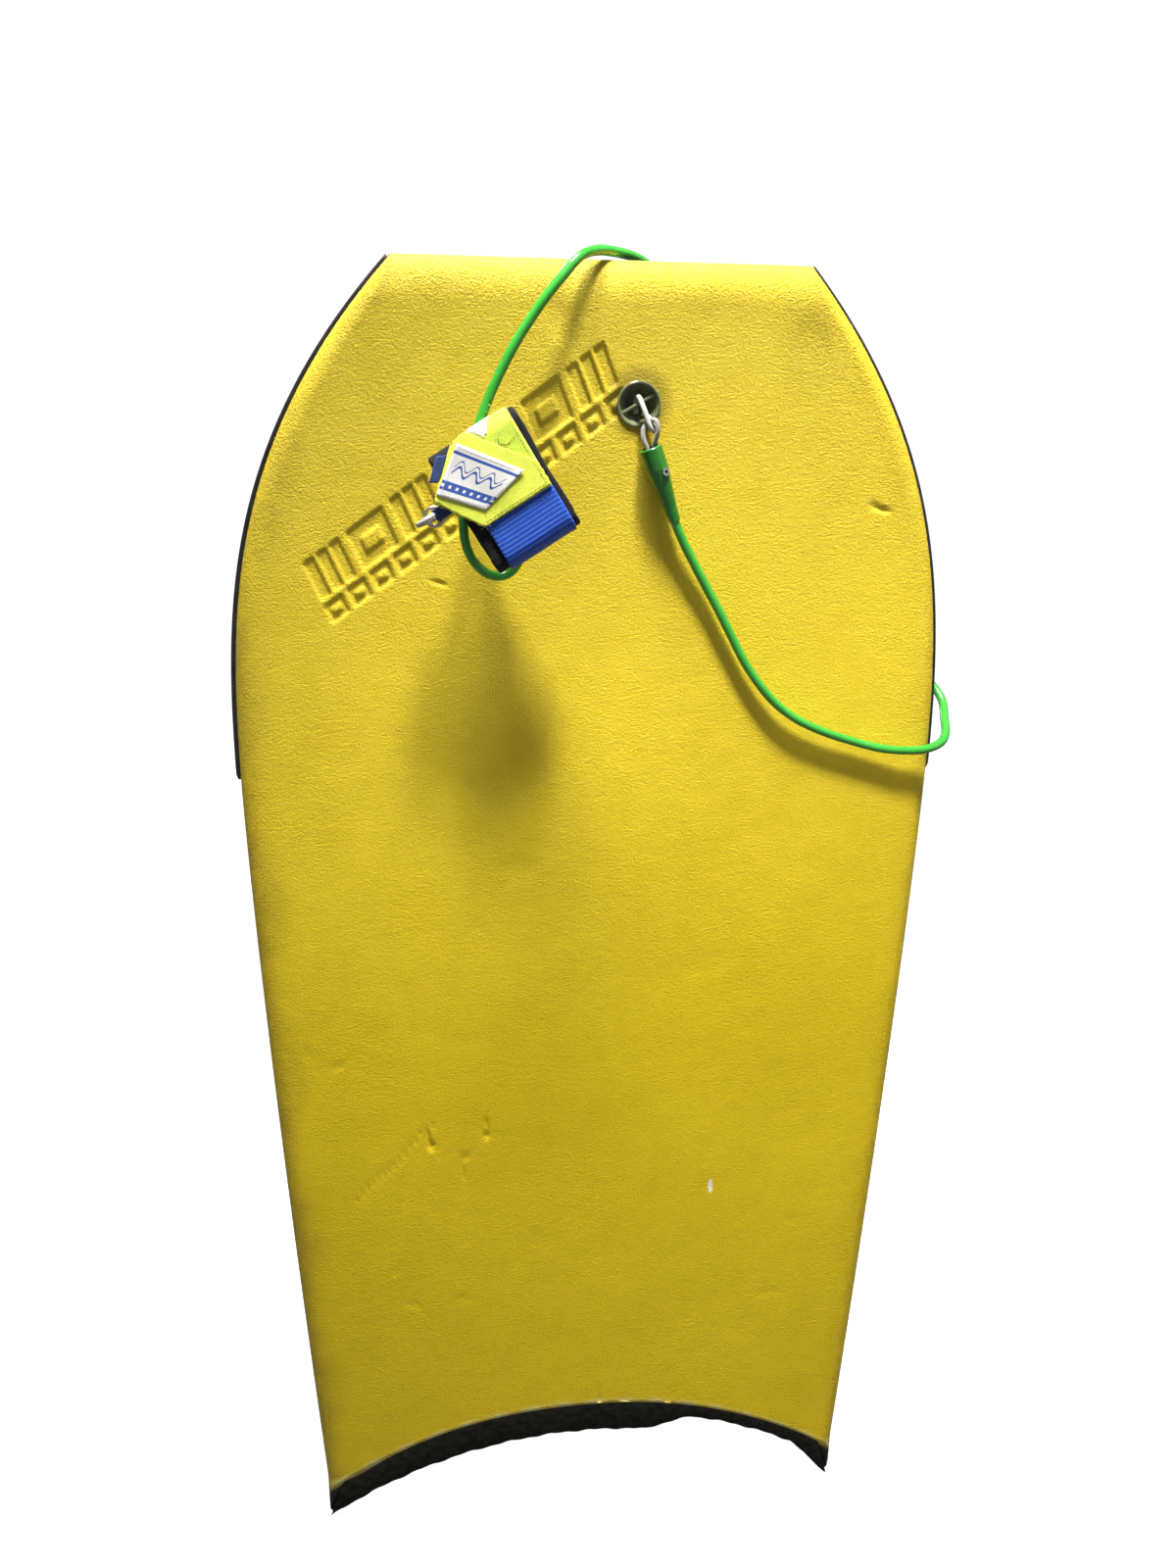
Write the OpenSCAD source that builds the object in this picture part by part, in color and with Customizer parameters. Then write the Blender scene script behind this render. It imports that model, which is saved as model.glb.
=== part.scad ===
// Bodyboard standing on its tail, with its coil-free wrist leash.
// Deck towards -Y, slick bottom towards +Y, nose up, millimetres.

/* [Board] */
// Length of the deck from the tail tips to the nose
deck_length = 1064; // [1050:2:1080]
// Half of the width at the widest point
half_wide = 278; // [270:1:284]
// Height of the widest point above the tail tips
wide_height = 680; // [640:5:700]
// Half of the width at the nose corners
half_nose = 147; // [140:1:155]
// Half of the width at the tail tips
half_tail = 246; // [238:1:252]
// Depth of the crescent cut in the tail
crescent_depth = 70; // [60:1:76]
// Thickness of the board over most of its length
thickness = 50; // [48:1:54]
// Thickness at the tail
tail_thickness = 40; // [38:1:44]
// How far the nose bends up towards the rider
nose_kick = 26; // [22:1:30]
// Length over which the nose bends up
kick_length = 300; // [280:5:320]

/* [Layers] */
// Thickness of the foam deck skin and of the upper rail
skin = 3.5; // [3:0.5:4]
// Thickness of the slick bottom sheet
slick = 2.5; // [2:0.5:3]
// How far the shoulder of the deck is rounded in from the rail
shoulder_in = 16; // [14:1:18]
// Depth of the rail's widest line below the deck
apex_depth = 14; // [13:1:16]
// How far the lower rail is bevelled in
bevel_in = 20; // [18:1:22]
// Height at which the rail bumpers end
bumper_end = 686; // [660:2:700]
// How far the rail bumpers stand out
bumper_out = 5; // [4:0.5:6]
// Depth of the two channels in the slick at the tail
channel_depth = 7; // [4:1:8]

/* [Leash plug] */
// Distance of the plug from the centreline
plug_x = 26; // [20:1:32]
// Height of the plug
plug_z = 969; // [960:1:975]
// Radius of the plug's flange
flange_r = 16; // [15:0.5:17]
// Radius of the plug's barrel
barrel_r = 12; // [11.5:0.5:12.5]
// Angle of the tie bar across the recess
bar_angle = 30; // [0:5:45]

/* [Leash] */
// Diameter of the leash cord
cord_d = 7; // [7:0.5:8]
// Length of a moulded boot
boot_length = 56; // [54:1:58]
// Radius of a boot at its mouth
boot_r = 8.5; // [8:0.5:9]
// Diameter of the tie strings
string_d = 3.6; // [3.2:0.2:3.8]

/* [Cuff] */
// Width of the cuff's webbing
cuff_w = 53; // [50:1:55]
// Turn of the cuff from level
cuff_turn = 31.7; // [30:0.1:33]
// Thickness of the neoprene pad
pad_t = 3.5; // [3:0.5:4]
// Thickness of webbing and strap
web_t = 1.6; // [1.4:0.2:1.8]

/* [Hidden] */
$fn = 48;

// Position of the board's own zero, the deck plane at the tail tips, in the part's frame
tail_reach = 53.4;
board_mid = 14;

// Glue line between the core and what is bonded to it, and between the tail skin and what it covers
glue = 0.3;
tail_glue = 0.8;

// Rows and columns of the board's skin grids
ROWS = 22;
COLS = 16;
// Reach of the tail faces beyond the crescent line, against depth below the deck
CORE_REACH = [[0, 0], [3.5, 0], [14, 36], [24, 38], [31, 37], [40, 30]];
TAIL_REACH = [[0, 4], [3.5, 4], [14, 45.2], [24, 47], [31, 46], [40, 38]];

crescent_half = half_tail - 12;
crescent_r = (pow(crescent_half, 2) + pow(crescent_depth, 2)) / (2 * crescent_depth);
channel_x = 78;
channel_half = 34;
channel_run = 300;
nose_round = 1.8;

function clamp01(v) = min(1, max(0, v));
function kick(z) = nose_kick * pow(clamp01((z - deck_length + kick_length) / kick_length), 2);
function thick(z) = thickness - (thickness - tail_thickness) * pow(clamp01((160 - z) / 160), 2);
function half_width(z) = z < wide_height
    ? half_wide - (half_wide - half_tail) * pow((wide_height - z) / wide_height, 1.35)
    : half_wide - (half_wide - half_nose) * pow((z - wide_height) / (deck_length - wide_height), 2.9);
function crescent(x) = sqrt(pow(crescent_r, 2) - x * x) - crescent_r + crescent_depth;
function channel(x, z) = abs(abs(x) - channel_x) > channel_half ? 0
    : channel_depth * cos(90 * (abs(x) - channel_x) / channel_half) * clamp01((channel_run - z) / channel_run);

// A level is [inset from the rail, fixed depth, share of the thickness, reach beyond the crescent]
function level(inset, fixed, share, table) =
    [inset, fixed, share, lookup(fixed + share * tail_thickness, table)];
function mix(a, b, q) = a * (1 - q) + b * q;
function between(a, b, q, table) = let (m = mix(a, b, q)) level(m[0], m[1], m[2], table);
function row(t) = 1 - pow(1 - t, 1.3);
// The slick's side of every layer has the same columns and rows inside its edge
function own_side(s, lv) = lv[2] == 1 && abs(s) < 1 ? bevel_in : lv[0];
function own_end(t, lv) = lv[2] == 1 && t < 1 ? bevel_in : lv[0];
function point(s, t, lv) = let (
    side = own_side(s, lv),
    foot = crescent(s * (half_tail - side)) - lv[3],
    z = foot + (deck_length - nose_round * own_end(t, lv) - foot) * row(t),
    x = s * (half_width(z) - side))
    [x, lv[1] + lv[2] * (thick(z) - channel(x, z)) - kick(z), z];

// Places on the board's edge, once around: tail, right rail, nose, left rail
EDGE = concat(
    [for (i = [0:COLS - 1]) [-1 + 2 * i / COLS, 0]],
    [for (j = [0:ROWS - 1]) [1, j / ROWS]],
    [for (i = [0:COLS - 1]) [1 - 2 * i / COLS, 1]],
    [for (j = [0:ROWS - 1]) [-1, 1 - j / ROWS]]);
function grid_points(lv) = [for (j = [0:ROWS]) for (i = [0:COLS]) point(-1 + 2 * i / COLS, j / ROWS, lv)];
function ring_points(lv) = [for (e = EDGE) point(e[0], e[1], lv)];
function grid_index(i, j) = j * (COLS + 1) + i;
EDGE_IN_GRID = concat(
    [for (i = [0:COLS - 1]) grid_index(i, 0)],
    [for (j = [0:ROWS - 1]) grid_index(COLS, j)],
    [for (i = [0:COLS - 1]) grid_index(COLS - i, ROWS)],
    [for (j = [0:ROWS - 1]) grid_index(0, ROWS - j)]);
function grid_faces(base, flip) = [for (j = [0:ROWS - 1]) for (i = [0:COLS - 1]) for (k = [0, 1])
    let (a = base + grid_index(i, j), b = a + 1, c = a + COLS + 1, d = c + 1,
         f = k == 0 ? [a, b, d] : [a, d, c])
    flip ? [f[2], f[1], f[0]] : f];

// A layer of the board: a full grid, rings around the edge, and a full grid again. The quads of a
// face that comes back up are cut the other way, so that they match the face that they are bonded to
function depth(lv) = lv[1] + lv[2] * tail_thickness;
module layer(levels) {
    n = len(levels);
    edge = len(EDGE);
    area = (ROWS + 1) * (COLS + 1);
    points = concat(grid_points(levels[0]), [for (k = [1:1:n - 2]) each ring_points(levels[k])],
        grid_points(levels[n - 1]));
    last = area + (n - 2) * edge;
    index = [for (k = [0:n - 1]) [for (e = [0:edge - 1])
        k == 0 ? EDGE_IN_GRID[e] : k == n - 1 ? last + EDGE_IN_GRID[e] : area + (k - 1) * edge + e]];
    bands = [for (k = [0:n - 2]) for (e = [0:edge - 1]) for (h = [0, 1])
        let (a = index[k][e], b = index[k][(e + 1) % edge], c = index[k + 1][e],
             d = index[k + 1][(e + 1) % edge])
        depth(levels[k + 1]) < depth(levels[k]) ? (h == 0 ? [a, b, c] : [b, d, c])
            : h == 0 ? [a, d, c] : [a, b, d]];
    polyhedron(concat(points), concat(grid_faces(0, true), bands, grid_faces(last, false)));
}

// A closed section swept through stations, with flat ends. The quads of the section's sides from
// turn_from to turn_to are cut the other way
module strip(stations, turn_from = 1, turn_to = 0) {
    n = len(stations);
    m = len(stations[0]);
    sides = [for (k = [0:n - 2]) for (e = [0:m - 1]) for (h = [0, 1])
        let (a = k * m + e, b = k * m + (e + 1) % m, c = a + m, d = b + m)
        e >= turn_from && e <= turn_to ? (h == 0 ? [a, c, b] : [c, d, b])
            : h == 0 ? [a, d, b] : [a, c, d]];
    ends = [for (e = [1:m - 2]) for (h = [0, 1])
        h == 0 ? [0, e, e + 1] : [(n - 1) * m, (n - 1) * m + e + 1, (n - 1) * m + e]];
    polyhedron([for (st = stations) each st], concat(sides, ends));
}

// The levels that the layers share
DECK_EDGE = level(shoulder_in, 0, 0, CORE_REACH);
APEX = level(0, apex_depth, 0, CORE_REACH);
APEX_IN = level(skin, apex_depth, 0, CORE_REACH);
CORE_TOP = level(shoulder_in, skin, 0, CORE_REACH);
LOW_OUT = level(bevel_in - 1, -slick, 1, CORE_REACH);
LOW_IN = level(bevel_in + skin, -slick, 1, CORE_REACH);
CORE_APEX = level(skin + glue, apex_depth, 0, CORE_REACH);
CORE_LOW = level(bevel_in + skin + glue, -slick - glue, 1, CORE_REACH);
function shoulder(a) =
    level(shoulder_in * (1 - sin(a)), apex_depth * (1 - cos(a)), 0, CORE_REACH);
function shoulder_inner(a, gap = 0) = level(shoulder_in - (shoulder_in - skin - gap) * sin(a),
    apex_depth - (apex_depth - skin - gap) * cos(a), 0, CORE_REACH);

module in_board() translate([0, -board_mid, tail_reach]) children();

plug_slope = 2 * nose_kick * (plug_z - deck_length + kick_length) / pow(kick_length, 2);
module in_plug() translate([plug_x, -kick(plug_z), plug_z]) rotate([90 + atan(plug_slope), 0, 0]) children();
plug_through = thickness * cos(atan(plug_slope));

module foam_core() color("dimgray") in_board() difference() {
    layer(concat([for (a = [0, 25, 50, 70, 90]) shoulder_inner(a, glue)],
        [for (q = [0.42, 0.72, 1]) between(CORE_APEX, CORE_LOW, q, CORE_REACH)]));
    in_plug() translate([0, 0, -plug_through - 10]) cylinder(r = barrel_r + 0.05, h = plug_through + 20);
}

module deck_skin() color("gold") in_board() difference() {
    layer([DECK_EDGE, shoulder(25), shoulder(50), shoulder(70), APEX, APEX_IN,
        shoulder_inner(70), shoulder_inner(50), shoulder_inner(25), CORE_TOP]);
    in_plug() translate([0, 0, -10]) cylinder(r = flange_r + 0.05, h = 20);
}

module slick_skin() color("black") in_board() difference() {
    layer([level(bevel_in - 1, -slick + glue, 1, CORE_REACH), level(bevel_in, 0, 1, CORE_REACH)]);
    in_plug() translate([0, 0, -plug_through - 10]) cylinder(r = 9, h = 20);
}

RAIL_SECTION = concat(
    [level(0, apex_depth + glue, 0, CORE_REACH)],
    [for (q = [0.42, 0.72, 1]) between(APEX, LOW_OUT, q, CORE_REACH)],
    [for (q = [1, 0.72, 0.42]) between(APEX_IN, LOW_IN, q, CORE_REACH)],
    [level(skin, apex_depth + glue, 0, CORE_REACH)]);
module rail_skin(side) strip([for (j = [0:ROWS])
    [for (k = side > 0 ? [0:7] : [0, 7, 6, 5, 4, 3, 2, 1]) point(side, j / ROWS, RAIL_SECTION[k])]],
    side > 0 ? 4 : 1, side > 0 ? 6 : 3);
module rail_skin_left() color("black") in_board() rail_skin(-1);
module rail_skin_right() color("black") in_board() rail_skin(1);

module nose_skin() color("black") in_board() strip([for (i = [0:COLS])
    [for (lv = RAIL_SECTION) point(1 - 2 * i / COLS, 1, lv)]], 4, 6);

// The tail skin's section, down its outer face and back up its inner face
INNER_REACH = [for (p = CORE_REACH) [p[0], p[1] + tail_glue]];
function again(lv, table) = level(lv[0], lv[1], lv[2], table);
TAIL_SECTION = concat(
    [for (lv = [CORE_TOP, shoulder(75), APEX]) again(lv, TAIL_REACH)],
    [for (q = [0.42, 0.72, 1]) between(APEX, LOW_OUT, q, TAIL_REACH)],
    [level(bevel_in, 0, 1, TAIL_REACH), level(bevel_in, 0, 1, INNER_REACH)],
    [for (q = [1, 0.72, 0.42]) between(APEX, LOW_OUT, q, INNER_REACH)],
    [again(APEX, INNER_REACH), again(CORE_TOP, INNER_REACH)]);
module tail_skin() color("black") in_board() strip([for (i = [0:COLS])
    [for (lv = TAIL_SECTION) point(-1 + 2 * i / COLS, 0, lv)]]);

// A bumper stands proud of the rail; its section goes out, along and back
function bumper_level(q, out) = let (lv = between(APEX, LOW_OUT, q, CORE_REACH)) [lv[0] - out, lv[1], lv[2], lv[3]];
BUMPER_SECTION = [bumper_level(0.02, glue), bumper_level(0.04, bumper_out - 0.5), bumper_level(0.1, bumper_out + 2),
    bumper_level(0.38, bumper_out + 7), bumper_level(0.48, bumper_out + 7), bumper_level(0.5, glue)];
BUMPER_ROWS = 18;
function bumper_point(side, k, lv) = let (
    z = bumper_end + (deck_length - bumper_end) * k / BUMPER_ROWS)
    [side * (half_width(z) - lv[0]), lv[1] + lv[2] * thick(z) - kick(z), z];
module rail_bumper(side) strip([for (k = [0:BUMPER_ROWS]) [for (i = [0:5])
    bumper_point(side, k, BUMPER_SECTION[side > 0 ? i : 5 - i])]]);
module rail_bumper_left() color("black") in_board() rail_bumper(-1);
module rail_bumper_right() color("black") in_board() rail_bumper(1);

// The leash plug: a flanged cup with a tie bar, and a cap screwed into it from the slick
module plug_cup() color("darkslategray") in_board() in_plug() difference() {
    union() {
        rotate_extrude() polygon([[0, -18], [0, -14], [6, -13], [8, -10], [14, 0.2], [14.6, 1], [flange_r - 0.5, 1],
            [flange_r, 0.5], [flange_r, -3.3], [barrel_r, -3.3], [barrel_r, -36], [8.6, -36], [8.6, -18]]);
        rotate([0, 0, bar_angle]) translate([0, 0, -2]) rotate([0, 90, 0]) cylinder(r = 1.4, h = 26, center = true);
    }
    for (a = [0, 90]) rotate([0, 0, a]) translate([0, 0, -35]) cube([2, 30, 4], center = true);
}

module plug_cap() color("darkslategray") in_board() in_plug() translate([0, 0, -plug_through]) difference() {
    union() {
        rotate_extrude() polygon([[0, -2.5], [0, 27], [7.4, 27], [8.4, 26], [8.4, 0], [17, 0], [17, -1.2], [15.5, -2.5]]);
        for (k = [0:3]) translate([0, 0, 15 + 3 * k]) cylinder(r = 8.58, h = 1.2);
    }
    translate([0, 0, -2.5]) cube([20, 3, 2.4], center = true);
    translate([0, 0, 20]) cylinder(r = 5, h = 10);
}

// Sweeps a round section of the given diameter along a route
function unit(v) = v / norm(v);
function heading(p, k) = let (n = len(p)) k == 0 ? unit(p[1] - p[0])
    : k == n - 1 ? unit(p[n - 1] - p[n - 2]) : unit(unit(p[k + 1] - p[k]) + unit(p[k] - p[k - 1]));
function carried(p, k, side) = let (h = heading(p, k)) unit(side - h * (side * h));
function sides_along(p, k, side) = k == len(p) ? [] : let (s = carried(p, k, side))
    concat([s], sides_along(p, k + 1, s));
module sweep(p, d, n) {
    sides = sides_along(p, 0, abs(heading(p, 0)[0]) < 0.9 ? [1, 0, 0] : [0, 1, 0]);
    strip([for (k = [0:len(p) - 1]) let (u = sides[k], v = cross(heading(p, k), u))
        [for (a = [0:n - 1]) p[k] + d / 2 * (cos(360 * a / n) * u + sin(360 * a / n) * v)]]);
}

// Smooth points between the route's own, a Catmull-Rom curve with steps points to each stretch
function at_span(p, k, t) = let (n = len(p), a = p[max(0, k - 1)], b = p[k], c = p[min(n - 1, k + 1)],
    d = p[min(n - 1, k + 2)])
    0.5 * (2 * b + (c - a) * t + (2 * a - 5 * b + 4 * c - d) * t * t + (3 * b - a - 3 * c + d) * t * t * t);
function smooth(p, steps) = concat([for (k = [0:len(p) - 2]) for (i = [0:steps - 1]) at_span(p, k, i / steps)],
    [p[len(p) - 1]]);

// Routes, in the board's own place: deck plane y = 0, tail tips z = 0
PLUG_STRING = [[25, -7, 963], [24.5, -4.8, 968], [25, -7.5, 973], [26, -13, 973.5], [28, -17, 968], [30.5, -19.5, 961],
    [33, -20.5, 954], [36, -18.5, 950.5], [36.5, -15.8, 955], [33, -14.6, 960], [29, -12, 963]];
LEASH_LOOP = [[36.8, -18, 926], [32, -18.5, 938], [29, -18.5, 945], [29, -17.5, 952], [32.5, -16.8, 957],
    [37, -22, 957.5], [38.5, -23, 951], [37.5, -20.5, 944], [37.2, -18, 938], [41.6, -17.2, 926]];
LEASH_ROUTE = [[49, -14.7, 901], [56, -13, 884], [64, -11.3, 868], [72, -10.2, 854], [82, -9, 837],
    [92, -9, 820], [103, -8.5, 800], [115, -8, 779], [128, -8, 761], [142, -8, 746], [160, -8, 733],
    [182, -8, 723], [206, -8, 715], [229, -8.5, 709], [250, -10, 707], [268, -10, 708], [282, -5, 712],
    [290, 6, 718], [294, 20, 727], [297, 35, 739], [291, 47, 751], [279, 54, 763], [263, 55.5, 778],
    [246, 55, 796], [226, 54.2, 820], [205, 53, 846], [181, 51.4, 874], [157, 49.2, 903],
    [133, 46.4, 933], [109, 43.2, 964], [88, 39.8, 992], [70, 35.5, 1018], [54, 29, 1041],
    [40, 21, 1062], [25, 7, 1068.5], [9, -9, 1069.5], [-7, -24, 1068], [-20, -35, 1062],
    [-31, -40, 1050], [-43, -42, 1036], [-54, -42, 1021], [-64, -42, 1006], [-73, -42, 990],
    [-81, -42, 974], [-88, -42, 957], [-94, -42, 938], [-98, -42, 918], [-101, -41, 898],
    [-101.5, -40, 883], [-99.5, -37, 869], [-94, -34, 858], [-85, -31, 850], [-74.5, -29, 848],
    [-65.5, -27.5, 853], [-61, -27, 863], [-63, -26.5, 874], [-68, -27, 883]];
CUFF_STRING = [[-76, -27, 898], [-84, -28, 908], [-93, -30, 910], [-102, -35, 907], [-111, -46, 901],
    [-117, -57, 896], [-120, -64, 894], [-123, -71, 892], [-128, -73, 889], [-132, -69, 886], [-128, -61, 887],
    [-118, -49, 891], [-106, -37.5, 898], [-97, -31, 902], [-88, -26.5, 903], [-80, -24.5, 900], [-75, -26, 895]];

// Turns the local +Z along v
module along(v) rotate([0, acos(v[2] / norm(v)), atan2(v[1], v[0])]) children();

module boot() {
    difference() {
        rotate_extrude() polygon([[0, 0], [boot_r - 0.6, 0], [boot_r, 0.6], [boot_r, 16], [6.6, 32], [4.9, 46],
            [4.4, boot_length], [0, boot_length]]);
        translate([0, 0, -1]) cylinder(r = 6.2, h = 27);
        translate([0, 0, 36]) cylinder(r = cord_d / 2 + 0.05, h = boot_length);
        translate([0, 0, 19]) rotate([90, 0, 0]) cylinder(r = 2.05, h = 40, center = true);
    }
}
module rivet() translate([0, 0, 19]) rotate([90, 0, 0]) difference() {
    union() {
        cylinder(r = 2, h = 17, center = true);
        for (e = [-1, 1]) translate([0, 0, 8.9 * e]) cylinder(r = 3, h = 1, center = true);
    }
    cylinder(r = 1.2, h = 30, center = true);
}

boot_at = [34, -18.7, 939];
boot_to = [56, -13, 884];
cuff_boot_at = [-80, -27.6, 905];
cuff_boot_to = [-64, -26.6, 876];
module in_boot() in_board() translate(boot_at) along(boot_to - boot_at) rotate([0, 0, -14]) children();
module in_cuff_boot() in_board() translate(cuff_boot_at) along(cuff_boot_to - cuff_boot_at) rotate([0, 0, -20])
    children();

module plug_string() color("ivory") in_board() sweep(smooth(PLUG_STRING, 2), string_d, 8);
module leash_loop() color("silver") in_board() sweep(smooth(LEASH_LOOP, 2), string_d, 8);
module leash_boot() color("green") in_boot() boot();
module leash_rivet() color("gray") in_boot() rivet();
module leash_cord() color("limegreen") in_board() sweep(LEASH_ROUTE, cord_d, 10);
module cuff_boot() color("green") in_cuff_boot() scale(0.62) boot();
module cuff_rivet() color("gray") in_cuff_boot() scale(0.62) rivet();
module cuff_string() color("ivory") in_board() sweep(smooth(CUFF_STRING, 2), string_d, 8);

// The cuff's own place: X across the webbing, Y up along it, Z away from the deck
module in_cuff() in_board() translate([-87, -61, 885]) rotate([0, -cuff_turn, 0]) rotate([90, 0, 0]) children();
// Centres of the bottom and top folds of the flattened loop, and its outer radius
fold_low = -23;
fold_high = 48;
fold_r = 10;
front = fold_r + 0.05;

module loop_outline(r) {
    translate([fold_low, -r]) square([fold_high - fold_low, 2 * r]);
    for (v = [fold_low, fold_high]) translate([v, 0]) circle(r = r);
}
module loop_ring(r, t) difference() {
    loop_outline(r + t);
    loop_outline(r);
}
module across(from, to) translate([from, 0, 0]) rotate([90, 0, 90]) linear_extrude(to - from) children();
module panel(points, from, t) translate([0, 0, from]) linear_extrude(t) polygon(points);

// Corners of the flap that carries the label, and its hinge line
HINGE_LOW = [-21, 32];
HINGE_HIGH = [10, 58];
FLAP = [HINGE_LOW, HINGE_HIGH, [22, 60], [54.5, 1], [0, -1], [-12, 17]];
LABEL = [[-17, 35], [10, 57], [43, 16.5], [5.5, 9]];

module cuff_pad() color("black") in_cuff() across(-8, cuff_w + 4) loop_ring(fold_r - pad_t, pad_t);

module cuff_webbing() color("royalblue") in_cuff() across(1, cuff_w + 0.5) difference() {
    loop_ring(front, web_t);
    translate([-0.3, 0]) square([100, 40]);
    translate([22, -40]) square([100, 80]);
}

module cuff_strap() color("yellowgreen") in_cuff() {
    panel([[0, 0], [cuff_w, 0], [cuff_w, fold_high], [16, fold_high], [9, 57], [-20, 32], [-12, 18]], front, web_t);
    across(16, cuff_w) difference() {
        loop_ring(front, web_t);
        translate([-100, 0]) square([100 + fold_high - 0.2, 40]);
        translate([-100, -40]) square([122.3, 80]);
    }
}

module cuff_flap() color("greenyellow") in_cuff() panel(FLAP, front + web_t + 0.35, web_t);
module cuff_label() color("white") in_cuff() panel(LABEL, front + 2 * web_t + 0.35, 0.8);
module cuff_tab() color("darkblue") in_cuff() panel([[-16, 44], [-3, 55.5], [3, 52.8], [-11, 41]], front, web_t);
module cuff_patch() color("whitesmoke") in_cuff()
    panel([[28.5, 47.8], [42, 47.8], [37, 40], [34.5, 41]], front + web_t, 0.3);

ring_r = 6.2;
ring_wire = 1.3;
ring_at = [-25.6, 23.5, 6.6];
module cuff_ring() color("silver") in_cuff() translate(ring_at) rotate_extrude() translate([ring_r, 0])
    circle(r = ring_wire);
module cuff_ring_tab() color("darkblue") in_cuff() difference() {
    translate([-22, 19, 3.6]) cube([13.7, 9, 6]);
    translate([-19.4, 10, 6.6]) rotate([-90, 0, 0]) cylinder(r = 1.9, h = 30);
    translate(ring_at) rotate_extrude() translate([ring_r, 0]) circle(r = ring_wire + 0.4);
}

foam_core();
deck_skin();
slick_skin();
rail_skin_left();
rail_skin_right();
nose_skin();
tail_skin();
rail_bumper_left();
rail_bumper_right();
plug_cup();
plug_cap();
plug_string();
leash_loop();
leash_boot();
leash_rivet();
leash_cord();
cuff_boot();
cuff_rivet();
cuff_string();
cuff_ring();
cuff_ring_tab();
cuff_pad();
cuff_webbing();
cuff_strap();
cuff_flap();
cuff_label();
cuff_tab();
cuff_patch();
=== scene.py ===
"""A bodyboard standing on its tail, with its leash and wrist cuff. Metres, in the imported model's frame."""

import math

import bpy
import numpy as np
from mathutils import Matrix, Vector


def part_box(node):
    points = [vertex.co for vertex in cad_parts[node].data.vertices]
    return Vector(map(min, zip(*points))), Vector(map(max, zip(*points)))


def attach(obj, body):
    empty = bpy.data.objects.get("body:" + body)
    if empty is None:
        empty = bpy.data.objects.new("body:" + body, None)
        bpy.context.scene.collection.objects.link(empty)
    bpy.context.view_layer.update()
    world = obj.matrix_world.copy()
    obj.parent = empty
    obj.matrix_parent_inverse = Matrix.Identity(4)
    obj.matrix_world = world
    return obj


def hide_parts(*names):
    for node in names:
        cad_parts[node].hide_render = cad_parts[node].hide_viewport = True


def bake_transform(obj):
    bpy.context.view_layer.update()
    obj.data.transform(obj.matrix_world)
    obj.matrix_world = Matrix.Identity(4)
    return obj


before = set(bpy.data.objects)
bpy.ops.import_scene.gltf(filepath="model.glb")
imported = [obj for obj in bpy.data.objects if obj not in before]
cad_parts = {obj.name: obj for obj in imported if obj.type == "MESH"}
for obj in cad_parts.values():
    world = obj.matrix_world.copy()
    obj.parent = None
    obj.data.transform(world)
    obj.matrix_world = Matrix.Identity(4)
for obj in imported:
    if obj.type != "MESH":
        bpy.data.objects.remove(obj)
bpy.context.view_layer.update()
MM = 0.001

# ---------------------------------------------------------------- driving sizes of the board
# HALF_ sizes are from the centre line; heights are above the tail tips, and depths go in from the deck
LENGTH = 1.064
HALF_WIDE = 0.278
WIDE_HEIGHT = 0.680
HALF_NOSE = 0.147
HALF_TAIL = 0.246
CRESCENT_DEPTH = 0.070
THICKNESS = 0.050
TAIL_THICKNESS = 0.040
NOSE_KICK = 0.026
KICK_RUN = 0.300
SKIN = 0.0035
SLICK = 0.0025
SHOULDER_IN = 0.016
APEX_DEPTH = 0.014
BEVEL_IN = 0.020
BUMPER_END = 0.686
CHANNEL_DEPTH = 0.007
CHANNEL_X = 0.078
CHANNEL_HALF = 0.034
CHANNEL_RUN = 0.300
NOSE_ROUND = 1.8
NOSE_CURVE = 2.9
TAIL_CURVE = 1.35
TAIL_THIN_RUN = 0.160
PLUG_X, PLUG_Z = 0.026, 0.969
PLUG_HOLE = 0.0155
CRESCENT_HALF = HALF_TAIL - 0.012
CRESCENT_R = (CRESCENT_HALF**2 + CRESCENT_DEPTH**2) / (2 * CRESCENT_DEPTH)

# Reach of the tail beyond the crescent line, against depth below the deck
# The reach goes well past a real tail face: the extra black foam stands in for the shadow under the tail, a
# painted shadow.
REACH_DEPTHS = np.array([0, 3.5, 14, 24, 31, 40]) * MM
CORE_REACH = np.array([0, 0, 36, 38, 37, 30]) * MM
DECK_REACH = np.array([0, 3.2, 36, 38, 37, 30]) * MM
TAIL_REACH = np.array([4, 4, 45.2, 47, 46, 38]) * MM

# The board's own zero, the deck plane at the tail tips, in the frame
ORIGIN = Vector((0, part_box("slick_skin")[1][1] - THICKNESS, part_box("deck_skin")[1][2] - LENGTH))

# ---------------------------------------------------------------- camera
EYE = ORIGIN + Vector((-0.1041, -0.8638, 0.9295))
CAMERA_ACROSS = (0.99395, 0.01912, -0.10818)
CAMERA_DEPTH = (-0.10926, 0.27437, -0.95540)
CAMERA_HEIGHT = (0.01141, 0.96143, 0.27480)
FOCAL = 25.99


def add_camera():
    data = bpy.data.cameras.new("camera")
    data.lens = FOCAL
    data.sensor_width = 36
    data.clip_start = 0.01
    camera = bpy.data.objects.new("camera", data)
    bpy.context.scene.collection.objects.link(camera)
    turn = Matrix((CAMERA_ACROSS, CAMERA_DEPTH, CAMERA_HEIGHT)).to_4x4()
    camera.matrix_world = Matrix.Translation(EYE) @ turn
    bpy.context.scene.camera = camera


add_camera()


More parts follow.
